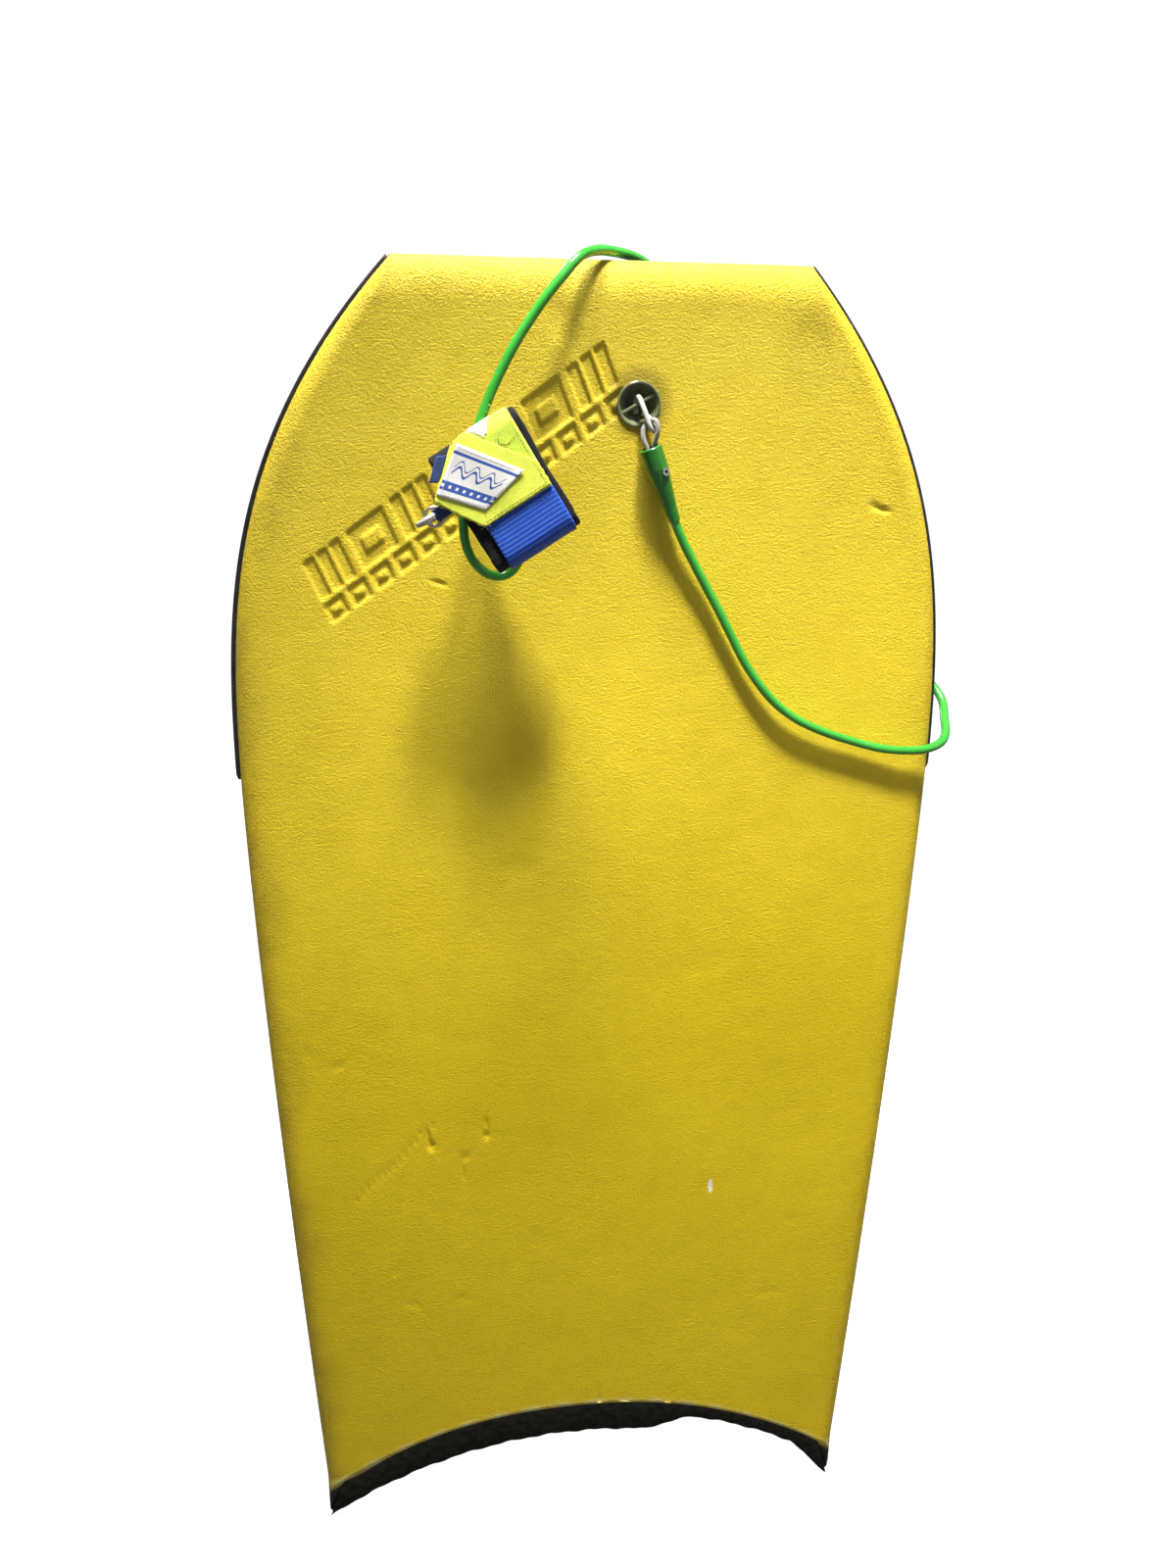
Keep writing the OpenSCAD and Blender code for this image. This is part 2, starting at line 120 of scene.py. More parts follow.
# ---------------------------------------------------------------- node materials
class Finish:
    """A material, with short calls for its nodes. Constant values go straight to the shader."""

    def __init__(self, name, **constants):
        self.material = bpy.data.materials.new(name)
        self.material.use_nodes = True
        self.tree = self.material.node_tree
        self.shader = self.tree.nodes["Principled BSDF"]
        for socket, value in constants.items():
            self.shader.inputs[socket.replace("_", " ")].default_value = value

    def node(self, kind, inputs=(), **settings):
        made = self.tree.nodes.new("ShaderNode" + kind)
        for key, value in settings.items():
            setattr(made, key, value)
        for key, value in dict(inputs).items():
            self.put(made.inputs[key], value)
        return made

    def put(self, socket, value):
        if isinstance(value, bpy.types.NodeSocket):
            self.tree.links.new(value, socket)
        else:
            socket.default_value = value

    def place(self, scale=(1, 1, 1), turn=(0, 0, 0), attribute=None):
        if attribute:
            source = self.node("Attribute", attribute_name=attribute).outputs["Vector"]
        else:
            source = self.node("TexCoord").outputs["Object"]
        return self.node("Mapping", {"Vector": source, "Scale": scale, "Rotation": turn}).outputs[0]

    def value(self, attribute):
        return self.node("Attribute", attribute_name=attribute).outputs["Fac"]

    def noise(self, scale, detail=3.0, rough=0.5, at=None, distortion=0.0):
        inputs = {"Scale": scale, "Detail": detail, "Roughness": rough, "Distortion": distortion}
        inputs["Vector"] = at or self.place()
        return self.node("TexNoise", inputs).outputs["Fac"]

    def cells(self, scale):
        return self.node("TexVoronoi", {"Scale": scale, "Vector": self.place()}).outputs["Distance"]

    def wave(self, scale, at, direction="X", distortion=0.0):
        inputs = {"Scale": scale, "Vector": at, "Distortion": distortion}
        return self.node("TexWave", inputs, bands_direction=direction).outputs["Fac"]

    def ramp(self, value, *stops):
        made = self.node("ValToRGB", {"Fac": value})
        bar = made.color_ramp.elements
        while len(bar) < len(stops):
            bar.new(0.5)
        for element, (at, colour) in zip(bar, stops):
            element.position = at
            if not hasattr(colour, "__len__"):
                colour = (colour, colour, colour)
            element.color = (*colour, 1)
        return made.outputs["Color"]

    def blend(self, share, low, high, how="MIX"):
        made = self.node("Mix", data_type="RGBA", blend_type=how)
        for socket, value in ((0, share), (6, low), (7, high)):
            if isinstance(value, tuple):
                value = (*value, 1)
            self.put(made.inputs[socket], value)
        return made.outputs[2]

    def sums(self, how, one, other=0.5):
        return self.node("Math", {0: one, 1: other}, operation=how).outputs[0]

    def vectors(self, how, one, other=(0, 0, 0)):
        return self.node("VectorMath", {0: one, 1: other}, operation=how).outputs

    def remap(self, value, low, high, to_low=0.0, to_high=1.0):
        inputs = {"Value": value, "From Min": low, "From Max": high, "To Min": to_low, "To Max": to_high}
        return self.node("MapRange", inputs).outputs[0]

    def bump(self, height, strength, distance, under=None):
        inputs = {"Height": height, "Strength": strength, "Distance": distance}
        if under:
            inputs["Normal"] = under
        return self.node("Bump", inputs).outputs["Normal"]

    def spot(self, centre, size, angle, edge):
        """1 inside an ellipse on the deck, falling to 0 over edge of its size outside."""
        moved = self.vectors("SUBTRACT", self.node("TexCoord").outputs["Object"], centre)[0]
        turned = self.node("VectorRotate", {"Vector": moved, "Angle": angle}, rotation_type="Y_AXIS")
        scaled = self.vectors("MULTIPLY", turned.outputs[0], (1 / size[0], 0, 1 / size[1]))[0]
        return self.remap(self.vectors("LENGTH", scaled)["Value"], 1.0, 1.0 + edge, 1.0, 0.0)

    def finish(self, colour, rough, normal):
        for socket, value in (("Base Color", colour), ("Roughness", rough), ("Normal", normal)):
            self.put(self.shader.inputs[socket], value)
        return self.material


def deck_point(x, z):
    """A place on the deck's marks, in the frame."""
    return (x, 0, z + ORIGIN.z)


def foam_deck():
    f = Finish("deck_foam", Specular_IOR_Level=0.20)
    # Painted light: the foam turns paler towards the nose and darker towards the tail, a painted sheen high
    # up and painted shade low down.
    shaded_low_foam = f.ramp(f.noise(3.2, 3), (0.3, (0.68, 0.490, 0.010)), (0.7, (0.76, 0.555, 0.013)))
    sheen_high_foam = f.ramp(f.noise(3.2, 3), (0.3, (0.77, 0.575, 0.040)), (0.7, (0.83, 0.630, 0.050)))
    height = f.node("SeparateXYZ", {"Vector": f.place()}).outputs["Z"]
    painted_light_foam = f.blend(f.remap(height, ORIGIN.z + 0.45, ORIGIN.z + 1.0), shaded_low_foam, sheen_high_foam)
    aged = f.blend(f.ramp(f.noise(28, 5, 0.6), (0.42, 0.0), (0.72, 0.28)), painted_light_foam, (0.58, 0.40, 0.006))
    # Darker along the rails: grime, and painted shade, since the band is painted about three times as strong
    # along the left rail as along the right.
    rim = f.sums("MULTIPLY", f.value("rim"), f.ramp(f.noise(55, 6, 0.7), (0.28, 0.25), (0.68, 1.0)))
    grime_and_rail_shade = f.blend(f.sums("MULTIPLY", rim, 0.62), aged, (0.30, 0.215, 0.022))
    stain = f.sums("MULTIPLY", f.spot(deck_point(0.150, 1.010), (0.012, 0.018), 0.3, 1.2), f.noise(160, 4))
    grime_and_rail_shade = f.blend(f.sums("MULTIPLY", stain, 0.30), grime_and_rail_shade, (0.30, 0.22, 0.04))
    specks = f.ramp(f.cells(130), (0.035, 1.0), (0.06, 0.0))
    rare = f.sums("MULTIPLY", specks, f.ramp(f.noise(9, 2), (0.56, 0.0), (0.62, 0.7)))
    grime_and_rail_shade = f.blend(rare, grime_and_rail_shade, (0.33, 0.24, 0.05))
    scratch = f.spot(deck_point(0.109, 0.302), (0.0019, 0.0062), 0.05, 0.35)
    pale = f.blend(scratch, grime_and_rail_shade, (0.86, 0.83, 0.66))
    halo = f.spot(deck_point(PLUG_X, PLUG_Z + 0.0015), (0.0185, 0.0195), 0.0, 0.45)
    smudged = f.blend(f.sums("MULTIPLY", halo, 0.55), pale, (0.20, 0.145, 0.020))
    worn = f.blend(f.value("bare"), smudged, (0.86, 0.76, 0.34))
    # Near black on the deck skin below the tail's edge: part of the painted shadow band under the tail.
    skirt = f.blend(f.value("skirt"), worn, (0.005, 0.004, 0.003))
    grain = f.noise(860, 2, 0.6, f.place((1, 1, 1.1)), 0.3)
    crinkle = f.noise(500, 3, 0.6, f.place((1, 1, 1.2)), 0.5)
    pebbles = f.sums("ADD", f.sums("MULTIPLY", grain, 0.7), crinkle)
    normal = f.bump(f.noise(46), 0.30, 0.0014, f.bump(pebbles, 0.85, 0.0011))
    rough = f.ramp(crinkle, (0.35, 0.28), (0.65, 0.48))
    return f.finish(skirt, rough, normal)


def foam_rail():
    f = Finish("rail_foam", Specular_IOR_Level=0.16)
    colour = f.ramp(f.noise(40, 5, 0.6), (0.35, (0.010, 0.010, 0.010)), (0.75, (0.024, 0.022, 0.019)))
    colour = f.blend(f.ramp(f.noise(190, 4, 0.7), (0.60, 0.0), (0.78, 0.35)), colour, (0.12, 0.10, 0.07))
    normal = f.bump(f.noise(520, 3, 0.6), 0.5, 0.0007)
    return f.finish(colour, f.ramp(f.noise(90, 3), (0.3, 0.72), (0.7, 0.88)), normal)


def foam_tail():
    f = Finish("tail_foam", Specular_IOR_Level=0.04)
    cell = f.cells(620)
    # A much darker copy of the rails' black foam: painted shade for the shadow under the tail.
    dark = f.ramp(f.noise(60, 5, 0.65), (0.3, (0.0020, 0.0014, 0.0008)), (0.75, (0.0060, 0.0044, 0.0028)))
    cells = f.blend(f.ramp(cell, (0.1, 0.35), (0.55, 0.0)), dark, (0.0095, 0.0090, 0.0060))
    # Painted highlight: a patchy grey band on the upper lip, where it would catch the light.
    lip_highlight = f.sums("MULTIPLY", f.value("rim"), f.ramp(f.noise(120, 4), (0.3, 0.3), (0.6, 1.0)))
    rim = f.blend(lip_highlight, cells, (0.060, 0.062, 0.048))
    normal = f.bump(f.sums("ADD", cell, f.noise(260, 4, 0.6)), 0.6, 0.0009)
    return f.finish(rim, f.ramp(f.noise(70, 3), (0.3, 0.80), (0.7, 0.95)), normal)


def foam_core():
    f = Finish("core_foam")
    colour = f.ramp(f.cells(700), (0.1, (0.16, 0.16, 0.155)), (0.6, (0.26, 0.26, 0.25)))
    return f.finish(colour, f.ramp(f.noise(90), (0.3, 0.75), (0.7, 0.9)), f.bump(f.cells(700), 0.6, 0.0008))


def slick_sheet():
    f = Finish("slick_sheet", Specular_IOR_Level=0.5)
    base = f.ramp(f.noise(5, 3), (0.35, (0.024, 0.024, 0.026)), (0.7, (0.038, 0.038, 0.041)))
    long_lines = f.noise(60, 3, 0.6, f.place((6, 1, 0.22), (0, 0.10, 0)))
    short_lines = f.noise(90, 3, 0.6, f.place((5, 1, 0.3), (0, -0.35, 0)))
    worn = f.sums("MAXIMUM", f.ramp(long_lines, (0.66, 0.0), (0.70, 0.7)),
                  f.ramp(short_lines, (0.70, 0.0), (0.73, 0.5)))
    colour = f.blend(worn, base, (0.115, 0.115, 0.120))
    rough = f.ramp(f.sums("ADD", f.sums("MULTIPLY", worn, 0.25), f.noise(12, 3)), (0.3, 0.24), (0.9, 0.55))
    swell = f.bump(f.noise(26), 0.2, 0.001)
    return f.finish(colour, rough, f.bump(f.sums("MULTIPLY", worn, -1.0), 0.3, 0.0003, swell))


def bumper_rubber():
    f = Finish("bumper_rubber", Specular_IOR_Level=0.5)
    colour = f.ramp(f.noise(70, 5, 0.6), (0.4, (0.009, 0.009, 0.009)), (0.8, (0.035, 0.033, 0.030)))
    grain = f.noise(480, 2, 0.5, f.place((1, 1, 0.35)))
    return f.finish(colour, f.ramp(f.noise(120, 3), (0.3, 0.30), (0.7, 0.46)), f.bump(grain, 0.35, 0.0006))


def smoky_plastic():
    f = Finish("smoky_plastic", IOR=1.47, Coat_Weight=0.45, Coat_Roughness=0.08)
    colour = f.ramp(f.noise(120, 4), (0.3, (0.105, 0.125, 0.060)), (0.7, (0.170, 0.190, 0.100)))
    rough = f.ramp(f.noise(260, 4), (0.35, 0.10), (0.7, 0.22))
    return f.finish(colour, rough, f.bump(f.noise(300), 0.12, 0.0004))


def braided_string(name, light, dark):
    f = Finish(name, Sheen_Weight=0.25, Sheen_Roughness=0.5)
    place = f.place(attribute="strand")
    left = f.wave(0.36, f.place((1, 1, 1), (0, 0, 0.75), "strand"))
    right = f.wave(0.36, f.place((1, 1, 1), (0, 0, -0.75), "strand"))
    weave = f.sums("MULTIPLY", left, right)
    colour = f.ramp(weave, (0.05, dark), (0.55, light))
    dirt = f.ramp(f.noise(0.16, 4, 0.6, place), (0.45, 0.0), (0.75, 0.45))
    colour = f.blend(dirt, colour, tuple(0.45 * c for c in light))
    return f.finish(colour, f.ramp(weave, (0.0, 0.9), (1.0, 0.66)), f.bump(weave, 0.8, 0.0006))


def urethane(name, light, dark, rough_low, rough_high):
    f = Finish(name, IOR=1.5, Coat_Weight=0.5, Coat_Roughness=0.06,
               Subsurface_Weight=0.12, Subsurface_Scale=0.004)
    colour = f.ramp(f.noise(22, 4), (0.3, dark), (0.7, light))
    scuffs = f.ramp(f.noise(420, 4, 0.7), (0.62, 0.0), (0.72, 0.30))
    colour = f.blend(scuffs, colour, tuple(min(1.0, c * 1.5 + 0.05) for c in light))
    return f.finish(colour, f.ramp(f.noise(180, 3), (0.3, rough_low), (0.7, rough_high)),
                    f.bump(f.noise(160, 3), 0.10, 0.0005))


def worn_steel():
    f = Finish("worn_steel", Metallic=1.0)
    colour = f.ramp(f.noise(350, 4), (0.35, (0.42, 0.40, 0.37)), (0.7, (0.66, 0.65, 0.63)))
    rough = f.ramp(f.noise(500, 4), (0.3, 0.22), (0.7, 0.48))
    return f.finish(colour, rough, f.bump(f.noise(600), 0.2, 0.0002))


def neoprene():
    f = Finish("neoprene_knit", Sheen_Weight=0.06, Sheen_Roughness=0.4, Specular_IOR_Level=0.3)
    place = f.place(attribute="cloth")
    knit = f.sums("MULTIPLY", f.wave(0.95, place, "X"), f.wave(0.70, place, "Y", 1.2))
    colour = f.ramp(knit, (0.0, (0.004, 0.004, 0.005)), (0.7, (0.016, 0.016, 0.018)))
    lint = f.ramp(f.noise(1.7, 2, 0.5, place), (0.70, 0.0), (0.76, 0.5))
    colour = f.blend(lint, colour, (0.16, 0.16, 0.15))
    return f.finish(colour, f.ramp(knit, (0.0, 0.95), (1.0, 0.8)), f.bump(knit, 0.6, 0.0004))


def ribbed_webbing():
    f = Finish("ribbed_webbing", Sheen_Weight=0.10, Sheen_Roughness=0.35)
    place = f.place(attribute="cloth")
    left = f.wave(0.42, f.place((1, 1, 1), (0, 0, 0.62), "cloth"))
    right = f.wave(0.42, f.place((1, 1, 1), (0, 0, -0.62), "cloth"))
    yarn = f.sums("MAXIMUM", left, right)
    colour = f.ramp(yarn, (0.25, (0.005, 0.035, 0.26)), (0.9, (0.014, 0.120, 0.78)))
    # Painted shade: the colour is multiplied down to about a sixth in the grooves between the ribs.
    groove = f.ramp(f.value("groove"), (0.15, 0.16), (0.65, 1.0))
    colour = f.blend(1.0, colour, groove, "MULTIPLY")
    faded = f.ramp(f.noise(1.2, 3, 0.6, place), (0.62, 0.0), (0.75, 0.25))
    colour = f.blend(faded, colour, (0.05, 0.20, 0.75))
    return f.finish(colour, f.ramp(yarn, (0.2, 0.9), (0.9, 0.55)), f.bump(yarn, 0.7, 0.0005))


def lime_pile():
    f = Finish("lime_pile", Sheen_Weight=0.7, Sheen_Roughness=0.5, Sheen_Tint=(0.9, 1.0, 0.55, 1))
    place = f.place(attribute="cloth")
    tufts = f.noise(1.3, 5, 0.75, place, 0.6)
    colour = f.ramp(tufts, (0.28, (0.36, 0.52, 0.012)), (0.52, (0.64, 0.80, 0.035)),
                    (0.75, (0.80, 0.90, 0.10)))
    stain = f.ramp(f.noise(0.11, 3, 0.6, place), (0.5, 0.0), (0.75, 0.45))
    colour = f.blend(stain, colour, (0.62, 0.66, 0.06))
    return f.finish(colour, f.ramp(tufts, (0.2, 0.98), (0.8, 0.8)), f.bump(tufts, 1.0, 0.0012))


def lime_tape():
    f = Finish("lime_tape", Sheen_Weight=0.45, Sheen_Roughness=0.45, Sheen_Tint=(0.95, 1.0, 0.6, 1))
    place = f.place(attribute="cloth")
    weft = f.wave(0.30, place, "X", 0.4)
    warp = f.wave(0.55, place, "Y", 0.4)
    weave = f.sums("ADD", f.sums("MULTIPLY", weft, 0.6), f.sums("MULTIPLY", warp, 0.6))
    colour = f.ramp(weave, (0.1, (0.50, 0.60, 0.012)), (0.6, (0.72, 0.80, 0.030)), (1.0, (0.84, 0.88, 0.10)))
    fuzz = f.ramp(f.noise(1.6, 5, 0.7, place), (0.45, 0.0), (0.72, 0.5))
    colour = f.blend(fuzz, colour, (0.86, 0.88, 0.16))
    soil = f.ramp(f.noise(0.09, 4, 0.6, place), (0.52, 0.0), (0.72, 0.4))
    colour = f.blend(soil, colour, (0.50, 0.55, 0.04))
    return f.finish(colour, f.ramp(weave, (0.1, 0.95), (0.9, 0.75)), f.bump(weave, 0.7, 0.0005))


def label_cloth():
    """White satin with blue bands, two plain wave lines and plain dashes, along the attribute's X, in mm."""
    f = Finish("label_cloth", Sheen_Weight=0.2, Sheen_Roughness=0.3)
    place = f.place(attribute="cloth")
    parts = f.node("SeparateXYZ", {"Vector": place})
    along, across = parts.outputs["X"], parts.outputs["Y"]
    thread = f.sums("MULTIPLY", f.wave(0.9, place, "X"), f.wave(1.3, place, "Y"))
    white = f.ramp(thread, (0.0, (0.66, 0.64, 0.60)), (0.5, (0.86, 0.85, 0.82)))
    white = f.blend(f.ramp(f.noise(0.2, 4, 0.6, place), (0.4, 0.0), (0.8, 0.35)), white, (0.66, 0.62, 0.56))

    def band(at, low, high):
        return f.sums("MULTIPLY", f.sums("GREATER_THAN", at, low), f.sums("LESS_THAN", at, high))

    swing = f.sums("SINE", f.sums("MULTIPLY", along, 0.52))
    level = f.sums("ADD", f.sums("MULTIPLY", swing, 2.6), across)
    lines = f.sums("MAXIMUM", band(level, 15.2, 16.9), band(level, 19.0, 19.9))
    waves = f.sums("MULTIPLY", lines, band(along, 4.5, 44.0))
    bands = f.sums("MAXIMUM", band(across, 24.6, 26.4), band(across, 3.9, 9.2))
    beat = f.sums("SINE", f.sums("MULTIPLY", along, 0.95))
    dashes = f.sums("MULTIPLY", band(across, 5.6, 7.4), f.sums("GREATER_THAN", beat, 0.45))
    blue = f.sums("MAXIMUM", waves, f.sums("SUBTRACT", bands, dashes))
    colour = f.blend(blue, white, (0.020, 0.075, 0.33))
    return f.finish(colour, f.ramp(thread, (0.0, 0.7), (1.0, 0.5)), f.bump(thread, 0.35, 0.0003))


def plain_tape(name, light, dark):
    f = Finish(name, Sheen_Weight=0.3, Sheen_Roughness=0.4)
    place = f.place(attribute="cloth")
    weave = f.sums("MULTIPLY", f.wave(0.6, place, "X"), f.wave(0.8, place, "Y"))
    colour = f.ramp(weave, (0.0, dark), (0.6, light))
    rough = f.ramp(f.noise(0.5, 3, 0.5, place), (0.3, 0.9), (0.7, 0.7))
    return f.finish(colour, rough, f.bump(weave, 0.6, 0.0004))


def sewing_thread(name, light):
    f = Finish(name, Sheen_Weight=0.3)
    colour = f.ramp(f.noise(900, 2), (0.35, tuple(0.6 * c for c in light)), (0.65, light))
    rough = f.ramp(f.noise(700, 2), (0.3, 0.6), (0.7, 0.85))
    return f.finish(colour, rough, f.bump(f.noise(1500), 0.4, 0.0002))


DECK_FOAM = foam_deck()
RAIL_FOAM = foam_rail()
TAIL_FOAM = foam_tail()
CORE_FOAM = foam_core()
SLICK_SHEET = slick_sheet()
BUMPER = bumper_rubber()
PLUG = smoky_plastic()
WHITE_STRING = braided_string("white_string", (0.74, 0.72, 0.66), (0.36, 0.34, 0.30))
GREY_STRING = braided_string("grey_string", (0.50, 0.47, 0.42), (0.20, 0.18, 0.16))
LEASH_GREEN = urethane("leash_green", (0.050, 0.37, 0.040), (0.030, 0.28, 0.026), 0.14, 0.24)
BOOT_GREEN = urethane("boot_green", (0.026, 0.200, 0.022), (0.013, 0.130, 0.013), 0.12, 0.24)
STEEL = worn_steel()
NEOPRENE = neoprene()
WEBBING = ribbed_webbing()
PILE = lime_pile()
TAPE = lime_tape()
LABEL = label_cloth()
TAB_BLUE = plain_tape("tab_blue", (0.020, 0.055, 0.24), (0.008, 0.020, 0.10))
PATCH_WHITE = plain_tape("patch_white", (0.80, 0.76, 0.72), (0.55, 0.50, 0.47))
BLACK_THREAD = sewing_thread("black_thread", (0.03, 0.03, 0.035))
BLUE_THREAD = sewing_thread("blue_thread", (0.03, 0.10, 0.42))
PALE_THREAD = sewing_thread("pale_thread", (0.74, 0.72, 0.60))
LIME_THREAD = sewing_thread("lime_thread", (0.72, 0.80, 0.10))


# ---------------------------------------------------------------- mesh helpers
def add_mesh(name, points, faces, material, nodes=(), slot=None, body="board", extra=()):
    """A smooth mesh piece that rides on a body and stands for CAD nodes. slot is not used. extra holds
    point attributes by name: rows of three values make a vector."""
    mesh = bpy.data.meshes.new(name)
    mesh.from_pydata([tuple(p) for p in points], [], faces)
    mesh.shade_smooth()
    mesh.materials.append(material)
    for key, values in dict(extra).items():
        values = np.asarray(values, np.float32)
        kind, field = ("FLOAT_VECTOR", "vector") if values.ndim == 2 else ("FLOAT", "value")
        mesh.attributes.new(key, kind, "POINT").data.foreach_set(field, values.ravel())
    piece = bpy.data.objects.new(name, mesh)
    bpy.context.scene.collection.objects.link(piece)
    if body:
        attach(piece, body)
    if nodes:
        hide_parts(*nodes)
    return piece


def grid_faces(number, flip):
    """Quads of a grid of point numbers."""
    quads = np.stack([number[:-1, :-1], number[:-1, 1:], number[1:, 1:], number[1:, :-1]], -1).reshape(-1, 4)
    return (quads[:, ::-1] if flip else quads).tolist()


def around(points):
    """Once around a grid: along its first row and last column, back along its last row and first column."""
    return np.concatenate([points[0, :-1], points[:-1, -1], points[-1, :0:-1], points[:0:-1, 0]])


def ring_faces(one, other):
    """Quads between two closed loops of point numbers."""
    n = len(one)
    return [[one[e], one[(e + 1) % n], other[(e + 1) % n], other[e]] for e in range(n)]


def gone_along(path):
    """How far along a path each of its points is."""
    return np.concatenate([[0], np.cumsum(np.linalg.norm(np.diff(path, axis=0), axis=1))])


def sweep(path, radius, sides):
    """Points, faces and (around, along, 0) in mm of a round tube with closed ends along a path."""
    path = np.asarray(path, float)
    count = len(path)
    radius = np.broadcast_to(np.asarray(radius, float), (count,))
    heads = np.gradient(path, axis=0)
    heads /= np.linalg.norm(heads, axis=1)[:, None]
    side = np.array([1.0, 0, 0]) if abs(heads[0][0]) < 0.9 else np.array([0, 1.0, 0])
    points, strand = [], []
    gone = gone_along(path)
    angles = np.arange(sides) * 2 * math.pi / sides
    for k in range(count):
        side = side - heads[k] * (side @ heads[k])
        side /= np.linalg.norm(side)
        up = np.cross(heads[k], side)
        for a in angles:
            points.append(path[k] + radius[k] * (math.cos(a) * side + math.sin(a) * up))
            strand.append((a * radius[k] / MM, gone[k] / MM, 0))
    faces = []
    for k in range(count - 1):
        low = [k * sides + e for e in range(sides)]
        faces += ring_faces([e + sides for e in low], low)
    last = (count - 1) * sides
    faces.append(list(range(sides)))
    faces.append([last + e for e in reversed(range(sides))])
    return points, faces, strand


def smooth_path(points, steps):
    """A Catmull-Rom curve through points, with steps points to each stretch."""
    p = np.asarray(points, float)
    out = []
    for k in range(len(p) - 1):
        a, b, c, d = p[max(0, k - 1)], p[k], p[k + 1], p[min(len(p) - 1, k + 2)]
        for i in range(steps):
            t = i / steps
            out.append(0.5 * (2 * b + (c - a) * t + (2 * a - 5 * b + 4 * c - d) * t * t
                              + (3 * b - a - 3 * c + d) * t**3))
    out.append(p[-1])
    return np.array(out)


def in_board(points):
    """Points of the board's own place, in mm, in the frame."""
    return np.asarray(points, float) * MM + np.array(ORIGIN)


# ---------------------------------------------------------------- leash
LEASH_ROUTE = [
    [49, -14.7, 901], [56, -13, 884], [64, -11.3, 868], [72, -10.2, 854], [82, -9, 837], [92, -9, 820],
    [103, -8.5, 800], [115, -8, 779], [128, -8, 761], [142, -8, 746], [160, -8, 733], [182, -8, 723],
    [206, -8, 715], [229, -8.5, 709], [250, -10, 707], [268, -10, 708], [282, -5, 712], [290, 6, 718],
    [294, 20, 727], [297, 35, 739], [291, 47, 751], [279, 54, 763], [263, 55.5, 778], [246, 55, 796],
    [226, 54.2, 820], [205, 53, 846], [181, 51.4, 874], [157, 49.2, 903], [133, 46.4, 933],
    [109, 43.2, 964], [88, 39.8, 992], [70, 35.5, 1018], [54, 29, 1041], [40, 21, 1062], [25, 7, 1068.5],
    [9, -9, 1069.5], [-7, -24, 1068], [-20, -35, 1062], [-31, -40, 1050], [-43, -42, 1036],
    [-54, -42, 1021], [-64, -42, 1006], [-73, -42, 990], [-81, -42, 974], [-88, -42, 957], [-94, -42, 938],
    [-98, -42, 918], [-101, -41, 898], [-101.5, -40, 883], [-99.5, -37, 869], [-94, -34, 858],
    [-85, -31, 850], [-74.5, -29, 848], [-65.5, -27.5, 853], [-61, -27, 863], [-63, -26.5, 874],
    [-68, -27, 883]]
PLUG_STRING = [
    [25, -7, 963], [24.5, -4.8, 968], [25, -7.5, 973], [26, -13, 973.5], [28, -17, 968], [30.5, -19.5, 961],
    [33, -20.5, 954], [36, -18.5, 950.5], [36.5, -15.8, 955], [33, -14.6, 960], [29, -12, 963]]
LEASH_LOOP = [
    [36.8, -18, 926], [32, -18.5, 938], [29, -18.5, 945], [29, -17.5, 952], [32.5, -16.8, 957],
    [37, -22, 957.5], [38.5, -23, 951], [37.5, -20.5, 944], [37.2, -18, 938], [41.6, -17.2, 926]]
CUFF_STRING = [
    [-76, -27, 898], [-84, -28, 908], [-93, -30, 910], [-102, -35, 907], [-111, -46, 901], [-117, -57, 896],
    [-120, -64, 894], [-123, -71, 892], [-128, -73, 889], [-132, -69, 886], [-128, -61, 887],
    [-118, -49, 891], [-106, -37.5, 898], [-97, -31, 902], [-88, -26.5, 903], [-80, -24.5, 900],
    [-75, -26, 895]]
CORD_DIAMETER = 0.007
STRING_DIAMETER = 0.0036


def leash():
    """The leash, as a round curve along its whole route."""
    data = bpy.data.curves.new("leash_tube", "CURVE")
    data.dimensions = "3D"
    data.bevel_depth = CORD_DIAMETER / 2
    data.bevel_resolution = 6
    data.use_fill_caps = True
    path = in_board(smooth_path(LEASH_ROUTE, 4))
    line = data.splines.new("POLY")
    line.points.add(len(path) - 1)
    for point, at in zip(line.points, path):
        point.co = (*at, 1)
    line.use_smooth = True
    data.materials.append(LEASH_GREEN)
    piece = bpy.data.objects.new("leash_tube", data)
    bpy.context.scene.collection.objects.link(piece)
    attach(piece, "board")
    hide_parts("leash_cord")
    return piece


def string(name, route, material, node, slot):
    points, faces, strand = sweep(in_board(smooth_path(route, 6)), STRING_DIAMETER / 2, 16)
    return add_mesh(name, points, faces, material, [node], slot, extra={"strand": strand})


leash_tube = leash()
plug_tie = string("plug_tie_string", PLUG_STRING, WHITE_STRING, "plug_string", "white_string")
leash_tie = string("leash_end_loop", LEASH_LOOP, GREY_STRING, "leash_loop", "grey_string")
cuff_tie = string("cuff_tie_string", CUFF_STRING, WHITE_STRING, "cuff_string", "white_string")


# ---------------------------------------------------------------- the board's surfaces
def clamp01(v):
    return np.clip(v, 0.0, 1.0)


def kick(z):
    """How far the nose bends forward."""
    return NOSE_KICK * clamp01((z - LENGTH + KICK_RUN) / KICK_RUN) ** 2


def thick(z):
    """The board's thickness, less towards the tail."""
    return THICKNESS - (THICKNESS - TAIL_THICKNESS) * clamp01((TAIL_THIN_RUN - z) / TAIL_THIN_RUN) ** 2


def half_width(z):
    below = clamp01((WIDE_HEIGHT - z) / WIDE_HEIGHT) ** TAIL_CURVE
    above = clamp01((z - WIDE_HEIGHT) / (LENGTH - WIDE_HEIGHT)) ** NOSE_CURVE
    return HALF_WIDE - (HALF_WIDE - HALF_TAIL) * below - (HALF_WIDE - HALF_NOSE) * above


